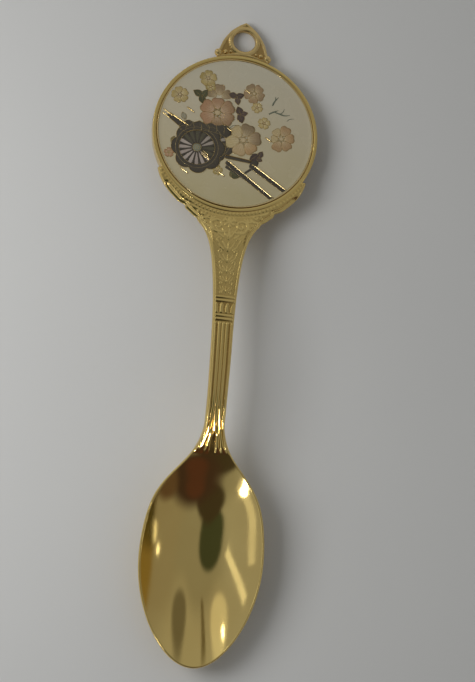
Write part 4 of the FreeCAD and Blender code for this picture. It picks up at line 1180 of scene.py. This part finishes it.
CREAM_TOP, CREAM_TOP2 = (0.525, 0.465, 0.330), (0.520, 0.478, 0.362)
CREAM_MID, CREAM_LOW = (0.500, 0.435, 0.272), (0.462, 0.398, 0.222)
gold_cast = gold_material("gold_cast", (0.78, 0.56, 0.22), (0.86, 0.64, 0.28), 0.14, 0.26, 0.06)
gold_pan_m = gold_material("gold_pan", (0.84, 0.64, 0.28), (0.90, 0.72, 0.38), 0.06, 0.14, 0.02)
gold_wire_m = gold_material("gold_wire", (0.72, 0.52, 0.20), (0.88, 0.70, 0.36), 0.10, 0.22, 0.03)
solder_m = gold_material("solder_flow", (0.62, 0.45, 0.19), (0.80, 0.60, 0.27), 0.24, 0.42, 0.25)
cream_m = cream_material()
dark_m = enamel("enamel_dark", [(0.0, (0.040, 0.034, 0.026)), (0.5, (0.060, 0.050, 0.034)), (0.62, (0.075, 0.072, 0.042)), (0.80, (0.17, 0.175, 0.125)), (0.93, (0.265, 0.220, 0.190)), (1.0, (0.315, 0.270, 0.235))], mottle=0.07)
coral_m = enamel("enamel_coral", [(0.0, (0.30, 0.165, 0.085)), (0.5, (0.33, 0.20, 0.115)), (1.0, (0.24, 0.16, 0.085))], mottle=0.18, pale=(0.40, 0.30, 0.20))
peach_m = enamel("enamel_peach", [(0.0, (0.42, 0.345, 0.185)), (0.3, (0.40, 0.30, 0.165)), (0.6, (0.36, 0.235, 0.115)), (0.85, (0.285, 0.200, 0.115)), (1.0, (0.215, 0.160, 0.090))], mottle=0.15, pale=(0.40, 0.325, 0.20))
yellow_m = enamel("enamel_yellow", [(0.0, (0.40, 0.33, 0.17)), (0.5, (0.385, 0.300, 0.125)), (1.0, (0.275, 0.215, 0.075))], mottle=0.14, pale=(0.42, 0.36, 0.23))
plum_m = enamel("enamel_plum", [(0.0, (0.048, 0.033, 0.027)), (1.0, (0.105, 0.074, 0.060))])
green_m = enamel("enamel_green", [(0.0, (0.045, 0.044, 0.020)), (0.5, (0.078, 0.078, 0.038)), (0.8, (0.16, 0.13, 0.055)), (1.0, (0.23, 0.215, 0.155))])
sprig_m = enamel("enamel_sprig", [(0.0, (0.085, 0.100, 0.068)), (1.0, (0.135, 0.145, 0.105))])
heart_m = enamel("enamel_heart", [(0.0, (0.36, 0.28, 0.16)), (1.0, (0.42, 0.34, 0.21))])

ride_as(pan, "medallion_pan", gold_pan_m)
ride_as(ground, "enamel_ground", cream_m)
ride_as(WIRES.done(), "gold_wires", gold_wire_m)
ride_as(wheel_f.done(), "cart_wheel_front", dark_m)
ride_as(wheel_r.done(), "cart_wheel_rear", dark_m)
ride_as(shafts.done(), "cart_shafts", dark_m)
ride_as(bed.done(), "cart_bed", dark_m)
ride_as(coral.done(), "blossoms_coral", coral_m)
ride_as(peach.done(), "blossoms_peach", peach_m)
ride_as(yellow.done(), "blossoms_yellow", yellow_m)
ride_as(plum.done(), "leaves_plum", plum_m)
ride_as(green.done(), "leaves_green", green_m)
ride_as(sprigs.done(), "sprigs", sprig_m)
ride_as(hearts.done(), "blossoms_yellow", heart_m)

# =====================================================================
# hanging lug
# =====================================================================
LUG_LO, LUG_HI = 1.05, 2.15
LUG_R, EYE_V, EYE_R, LUG_TIP = 14.80, 17.72, 2.00, 21.350


def lug_outline():
    half = [(4.50, 15.25), (4.18, 16.25), (3.78, 17.40), (3.12, 18.55), (2.40, 19.52), (1.34, 20.48), (0.42, 21.12)]
    a0 = math.asin(4.70 / LUG_R)
    foot = (LUG_R * math.sin(a0), LUG_R * math.cos(a0))
    right = spline_line([foot] + half + [(0.0, LUG_TIP)], 120)
    arc = [(LUG_R * math.sin(t), LUG_R * math.cos(t)) for t in np.linspace(-a0, a0, 40)[1:-1]]
    left = right[::-1] * [-1, 1]
    return np.vstack([right, left[1:-1], [(-foot[0], foot[1])], arc])


def lug_mesh():
    out = lug_outline()
    c = np.array([0.0, EYE_V])
    d = out - c
    ang = np.unwrap(np.arctan2(d[:, 1], d[:, 0]))
    rad = np.hypot(d[:, 0], d[:, 1])
    o = np.argsort(ang)
    ang, rad = ang[o], rad[o]
    # keep the corners: sample at the outline's own points and evenly between
    base_a = np.linspace(0, 2 * math.pi, 300, endpoint=False)
    A = np.r_[ang - 2 * math.pi, ang, ang + 2 * math.pi]
    R = np.r_[rad, rad, rad]
    phi = np.unique(np.round(np.r_[base_a, np.mod(ang[::4], 2 * math.pi)], 5))
    ro = np.interp(phi, A, R)
    n = len(phi)
    fr = np.array([0.0, 0.035, 0.08, 0.13, 0.19, 0.26, 0.34, 0.42, 0.50, 0.58, 0.66, 0.74, 0.81, 0.87, 0.92, 0.96, 0.985, 1.0])
    verts, faces, crev = [], [], []
    e = np.c_[np.cos(phi), np.sin(phi)]

    def top_h(r, w):
        """Raised collar round the eye, a groove, then a plate with a raised border."""
        a = r - EYE_R
        z = LUG_HI - 0.20 + 0.0 * r
        collar = 0.20 * bead((a - 0.42) / 0.42)
        border = 0.17 * bead((w - a - 0.30) / 0.30)
        return z + np.maximum(collar, border)

    wall = ro - EYE_R
    for f in fr:
        r = EYE_R + wall * f
        z = top_h(r, wall)
        p = c + e * r[:, None]
        rim = bead((r - EYE_R - 0.42) / 0.42)
        bor = bead((wall - (r - EYE_R) - 0.30) / 0.30)
        verts += [(x, y, q) for (x, y), q in zip(p, z)]
        # painted shade: the groove between the eye's collar and the raised border is painted darker through the crevice
        # attribute
        crev += list(0.75 * (1 - np.clip(np.maximum(rim, bor) * 1.8, 0, 1)))
    m = len(fr)
    # outer side, underside and the bore
    for k, zz in ((0.012, LUG_LO + 0.55), (0.0, LUG_LO + 0.18), (-0.16, LUG_LO)):
        r = ro + k - 0.012
        verts += [(x, y, zz) for x, y in c + e * r[:, None]]
        crev += [0.0] * n
    for k, zz in ((0.14, LUG_LO), (0.0, LUG_LO + 0.16), (-0.0, LUG_LO + 0.55)):
        verts += [(x, y, zz) for x, y in c + e * (EYE_R + k)]
        crev += [0.0] * n
    total = m + 6
    for i in range(total):
        a, b = i * n, ((i + 1) % total) * n
        for k in range(n):
            k2 = (k + 1) % n
            faces.append((a + k, b + k, b + k2, a + k2))
    return to_head(new_mesh("hanging_loop_cast", verts, faces, attrs={"crevice": crev}), 0.0, LUG_TURN)


def bead_mesh(name, cx, cv, r, zc, squash=0.85):
    bm = bmesh.new()
    bmesh.ops.create_icosphere(bm, subdivisions=4, radius=1.0)
    rnd = np.random.default_rng(int(abs(cx * 100)) + 3)
    ph = rnd.uniform(0, 6.28, 3)
    for v in bm.verts:
        x, y, z = v.co
        k = 1 + 0.03 * math.sin(3 * x + ph[0]) * math.sin(3.4 * y + ph[1]) + 0.02 * math.sin(5 * z + ph[2])
        v.co = Vector((cx + x * r * k, cv + y * r * k, zc + z * r * squash * k)) * MM
    me = bpy.data.meshes.new(name)
    bm.to_mesh(me)
    bm.free()
    ob = bpy.data.objects.new(name, me)
    scene.collection.objects.link(ob)
    me.shade_smooth()
    return to_head(ob, 0.0, LUG_TURN)


gold_lug = gold_material("gold_cast_lug", (0.78, 0.56, 0.22), (0.86, 0.64, 0.28), 0.12, 0.24, 0.06, True)
ride_as(lug_mesh(), "hanging_loop", gold_lug)
for i, (bx, bv, br) in enumerate(((-4.42, 15.02, 0.72), (4.42, 15.02, 0.72), (-3.18, 15.30, 0.44), (3.18, 15.30, 0.44), (-2.30, 15.42, 0.30), (2.30, 15.42, 0.30))):
    ride_as(bead_mesh("lug_bead_%d" % i, bx, bv, br, 1.62 + 0.30 * (br < 0.5)), "hanging_loop", gold_cast)


# solder: a puddled fillet between the lug's foot and the bezel wall
def solder_mesh():
    a1 = math.asin(4.70 / LUG_R) * 0.97
    n = 90
    rnd = np.random.default_rng(5)
    wob = np.convolve(rnd.uniform(-1, 1, n + 8), np.ones(9) / 9, "valid")
    verts, faces = [], []
    sec = [(14.69, 1.08), (14.69, 2.16), (14.74, 2.16), (14.85, 2.06), (14.97, 1.93), (14.97, 1.60), (14.86, 1.08)]
    for i in range(n):
        t = -a1 + 2 * a1 * i / (n - 1)
        k = 1 + 0.5 * wob[i]
        for r, z in sec:
            rr = 14.69 + (r - 14.69) * k
            verts.append((rr * math.sin(t), rr * math.cos(t), z + 0.03 * wob[i] * (z > 1.9)))
    m = len(sec)
    for i in range(n - 1):
        for k in range(m):
            k2 = (k + 1) % m
            faces.append((i * m + k, i * m + k2, (i + 1) * m + k2, (i + 1) * m + k))
    faces.append(tuple(reversed(range(m))))
    faces.append(tuple((n - 1) * m + k for k in range(m)))
    return to_head(new_mesh("loop_solder_fillet", verts, faces), 0.0, LUG_TURN)


ride_as(solder_mesh(), "loop_solder", solder_m)


# adhesive stays as designed and gets a cured, slightly cloudy finish
def adhesive_material():
    m, nt, bs = material("adhesive_cured")
    tc = add(nt, "ShaderNodeTexCoord")
    n1 = add(nt, "ShaderNodeTexNoise", i_Scale=600.0, i_Detail=4.0)
    nt.links.new(tc.outputs["Object"], n1.inputs["Vector"])
    rp = ramp(nt, [(0.3, (0.36, 0.30, 0.17, 1)), (0.7, (0.50, 0.44, 0.28, 1))])
    nt.links.new(n1.outputs["Fac"], rp.inputs[0])
    nt.links.new(rp.outputs[0], bs.inputs["Base Color"])
    r2 = ramp(nt, [(0.3, grey(0.45)), (0.7, grey(0.62))])
    nt.links.new(n1.outputs["Fac"], r2.inputs[0])
    nt.links.new(r2.outputs[0], bs.inputs["Roughness"])
    return m


glue = NODES["medallion_adhesive"] if isinstance(NODES, dict) else None
glue_ob = glue if isinstance(glue, bpy.types.Object) else bpy.data.objects.get("medallion_adhesive")
for i in range(max(1, len(glue_ob.material_slots))):
    if len(glue_ob.material_slots) <= i:
        glue_ob.data.materials.append(adhesive_material())
    else:
        glue_ob.material_slots[i].material = adhesive_material()

# =====================================================================
# floor, light, camera
# =====================================================================
me = bpy.data.meshes.new("floor")
F = 0.9
me.from_pydata([(-F, -F, -2e-5), (F, -F, -2e-5), (F, F, -2e-5), (-F, F, -2e-5)], [], [(0, 1, 2, 3)])
floor = bpy.data.objects.new("floor", me)
scene.collection.objects.link(floor)
m, nt, bs = material("floor_paper")
tc = add(nt, "ShaderNodeTexCoord")
nz = add(nt, "ShaderNodeTexNoise", i_Scale=14.0, i_Detail=4.0)
nt.links.new(tc.outputs["Object"], nz.inputs["Vector"])
rp = ramp(nt, [(0.3, (0.700, 0.702, 0.700, 1)), (0.7, (0.728, 0.730, 0.724, 1))])
nt.links.new(nz.outputs["Fac"], rp.inputs[0])
nt.links.new(rp.outputs[0], bs.inputs["Base Color"])
bs.inputs["Roughness"].default_value = 0.75
set_material(floor, m)


def world_light():
    wd = bpy.data.worlds.new("studio")
    scene.world = wd
    wd.use_nodes = True
    nt = wd.node_tree
    nt.nodes.clear()
    out = nt.nodes.new("ShaderNodeOutputWorld")
    bg = nt.nodes.new("ShaderNodeBackground")
    nt.links.new(bg.outputs[0], out.inputs[0])
    tc = add(nt, "ShaderNodeTexCoord")

    def lobe(direction, inner, outer):
        d = Vector(direction).normalized()
        dot = add(nt, "ShaderNodeVectorMath", operation="DOT_PRODUCT")
        nt.links.new(tc.outputs["Generated"], dot.inputs[0])
        dot.inputs[1].default_value = d
        mr = add(nt, "ShaderNodeMapRange", interpolation_type="SMOOTHSTEP")
        mr.inputs["From Min"].default_value = math.cos(math.radians(outer))
        mr.inputs["From Max"].default_value = math.cos(math.radians(inner))
        nt.links.new(dot.outputs["Value"], mr.inputs["Value"])
        return mr.outputs[0]

    def over(prev, fac, colour):
        mix = add(nt, "ShaderNodeMix", data_type="RGBA")
        nt.links.new(fac, mix.inputs[0])
        if isinstance(prev, tuple):
            mix.inputs[6].default_value = prev
        else:
            nt.links.new(prev, mix.inputs[6])
        mix.inputs[7].default_value = colour
        return mix.outputs[2]

    def times(p, q):
        mu = add(nt, "ShaderNodeMath", operation="MULTIPLY")
        nt.links.new(p, mu.inputs[0])
        nt.links.new(q, mu.inputs[1])
        return mu.outputs[0]

    def step(value, lo, hi):
        mr = add(nt, "ShaderNodeMapRange", interpolation_type="SMOOTHSTEP")
        mr.inputs["From Min"].default_value = min(lo, hi)
        mr.inputs["From Max"].default_value = max(lo, hi)
        if lo > hi:
            mr.inputs["To Min"].default_value = 1.0
            mr.inputs["To Max"].default_value = 0.0
        nt.links.new(value, mr.inputs["Value"])
        return mr.outputs[0]

    sep = add(nt, "ShaderNodeSeparateXYZ")
    nt.links.new(tc.outputs["Generated"], sep.inputs[0])
    flat = add(nt, "ShaderNodeVectorMath", operation="MULTIPLY")
    nt.links.new(tc.outputs["Generated"], flat.inputs[0])
    flat.inputs[1].default_value = (1, 1, 0)
    unit = add(nt, "ShaderNodeVectorMath", operation="NORMALIZE")
    nt.links.new(flat.outputs[0], unit.inputs[0])

    def sector(az, inner, outer, el0, el1, el2, el3):
        """Soft window in compass angle and in height above the horizon."""
        d = (math.sin(math.radians(az)), math.cos(math.radians(az)), 0)
        dot = add(nt, "ShaderNodeVectorMath", operation="DOT_PRODUCT")
        nt.links.new(unit.outputs[0], dot.inputs[0])
        dot.inputs[1].default_value = d
        w = step(dot.outputs["Value"], math.cos(math.radians(outer)), math.cos(math.radians(inner)))
        lo = step(sep.outputs["Z"], math.sin(math.radians(el0)), math.sin(math.radians(el1)))
        hi = step(sep.outputs["Z"], math.sin(math.radians(el3)), math.sin(math.radians(el2)))
        return times(w, times(lo, hi))

    def toward(az, el):
        p, q = math.radians(az), math.radians(el)
        return (math.sin(p) * math.cos(q), math.cos(p) * math.cos(q), math.sin(q))

    col = (0.265, 0.267, 0.262, 1)
    col = over(col, sector(0, 50, 95, -10, 5, 52, 70), (0.345, 0.347, 0.340, 1))
    col = over(col, sector(-100, 30, 60, -10, 5, 40, 62), (0.335, 0.340, 0.344, 1))
    col = over(col, sector(100, 20, 45, -10, 8, 30, 50), (0.275, 0.268, 0.255, 1))
    dark = (0.050, 0.042, 0.032, 1)
    col = over(col, lobe(toward(-142, 68), 17, 23.5), (0.050, 0.062, 0.044, 1))
    col = over(col, lobe(toward(-176, 44), 18, 25), dark)
    col = over(col, lobe(toward(157, 16), 20, 38), (0.052, 0.034, 0.031, 1))
    col = over(col, lobe(toward(156, 25), 5, 17), (0.082, 0.038, 0.031, 1))
    col = over(col, lobe(toward(126, 3), 6, 16), (0.110, 0.075, 0.058, 1))
    col = over(col, lobe(toward(-50, 43), 9.5, 14.5), (0.62, 0.62, 0.59, 1))
    col = over(col, lobe(toward(50, 44), 9, 15), (0.150, 0.145, 0.130, 1))
    col = over(col, lobe(toward(-51, 35.3), 1.2, 2.8), (5.0, 5.0, 4.8, 1))
    col = over(col, lobe(toward(99, 5), 1.2, 3.6), (1.7, 1.7, 1.6, 1))
    col = over(col, lobe(toward(95.4, 12), 0.9, 2.8), (2.2, 2.2, 2.1, 1))
    col = over(col, sector(-16, 2.5, 6.5, 42, 47, 64, 70), (0.140, 0.125, 0.090, 1))
    nt.links.new(col, bg.inputs[0])
    bg.inputs[1].default_value = 1.0


world_light()
FILL_W = 0.185


def area(name, loc, target, size, power, colour=(1, 1, 1), size_y=None):
    ld = bpy.data.lights.new(name, "AREA")
    ld.shape = "RECTANGLE" if size_y else "SQUARE"
    ld.size = size
    if size_y:
        ld.size_y = size_y
    ld.energy = power
    ld.color = colour
    lo = bpy.data.objects.new(name, ld)
    scene.collection.objects.link(lo)
    lo.location = loc
    lo.rotation_euler = (Vector(target) - Vector(loc)).to_track_quat("-Z", "Y").to_euler()
    return lo


area("key", (-0.38, -0.45, 0.18), (0, 0, 0), 0.055, 0.100, (1.0, 0.98, 0.96))
gloss = area("gloss", (-0.38, -0.45, 0.18), (0, 0, 0), 0.10, 0.105, (1.0, 0.99, 0.97), 0.030)
strip = area("strip", (-0.52, -0.33, 0.20), (0, 0, 0), 0.62, 0.048, (1.0, 0.99, 0.97), 0.075)
fill = area("fill", (-0.14, 0.0, 0.138), (0, 0, 0), 0.11, FILL_W, (1.0, 0.998, 0.985))
fill.visible_glossy = False
glint = area("glint", (-0.0740, -0.0378, 0.0558), (0.006, -0.043, 0.003), 0.0558, 0.00082, (1.0, 0.99, 0.98), 0.0085)
side = Vector((-22.9, 33.7, -38.1)).normalized()
back = (glint.location - Vector((0.006, -0.043, 0.003))).normalized()
side = (side - back * side.dot(back)).normalized()
glint.rotation_euler = Matrix((side, back.cross(side), back)).transposed().to_euler()
neck = area("neck", (-0.0216, -0.0250, 0.028), (0, -0.0205, 0.008), 0.008, 0.0009, (1.0, 0.99, 0.98))
neck.data.spread = math.radians(42)
for lo in (gloss, strip, glint, neck):
    lo.visible_diffuse = False
    lo.visible_camera = False

cam_d = bpy.data.cameras.new("camera")
cam = bpy.data.objects.new("camera", cam_d)
scene.collection.objects.link(cam)
C = Vector((-34.31, 15.62 + TIP_Y, 280.71)) * MM
T = Vector((3.222, 55.842 + TIP_Y, 5.0)) * MM
fw = (T - C).normalized()
r = fw.cross(Vector((0, 1, 0))).normalized()
up = r.cross(fw)
roll = 0.0820
r2 = r * math.cos(roll) + up * math.sin(roll)
u2 = -r * math.sin(roll) + up * math.cos(roll)
mat = Matrix((r2, u2, -fw)).transposed().to_4x4()
mat.translation = C
cam.matrix_world = mat
cam_d.sensor_fit = "VERTICAL"
cam_d.sensor_height = 24.0
cam_d.lens = 1631.0 / 682.0 * 24.0
cam_d.clip_start = 0.01
cam_d.clip_end = 20.0
scene.camera = cam
scene.view_settings.view_transform = "Standard"
scene.view_settings.look = "None"
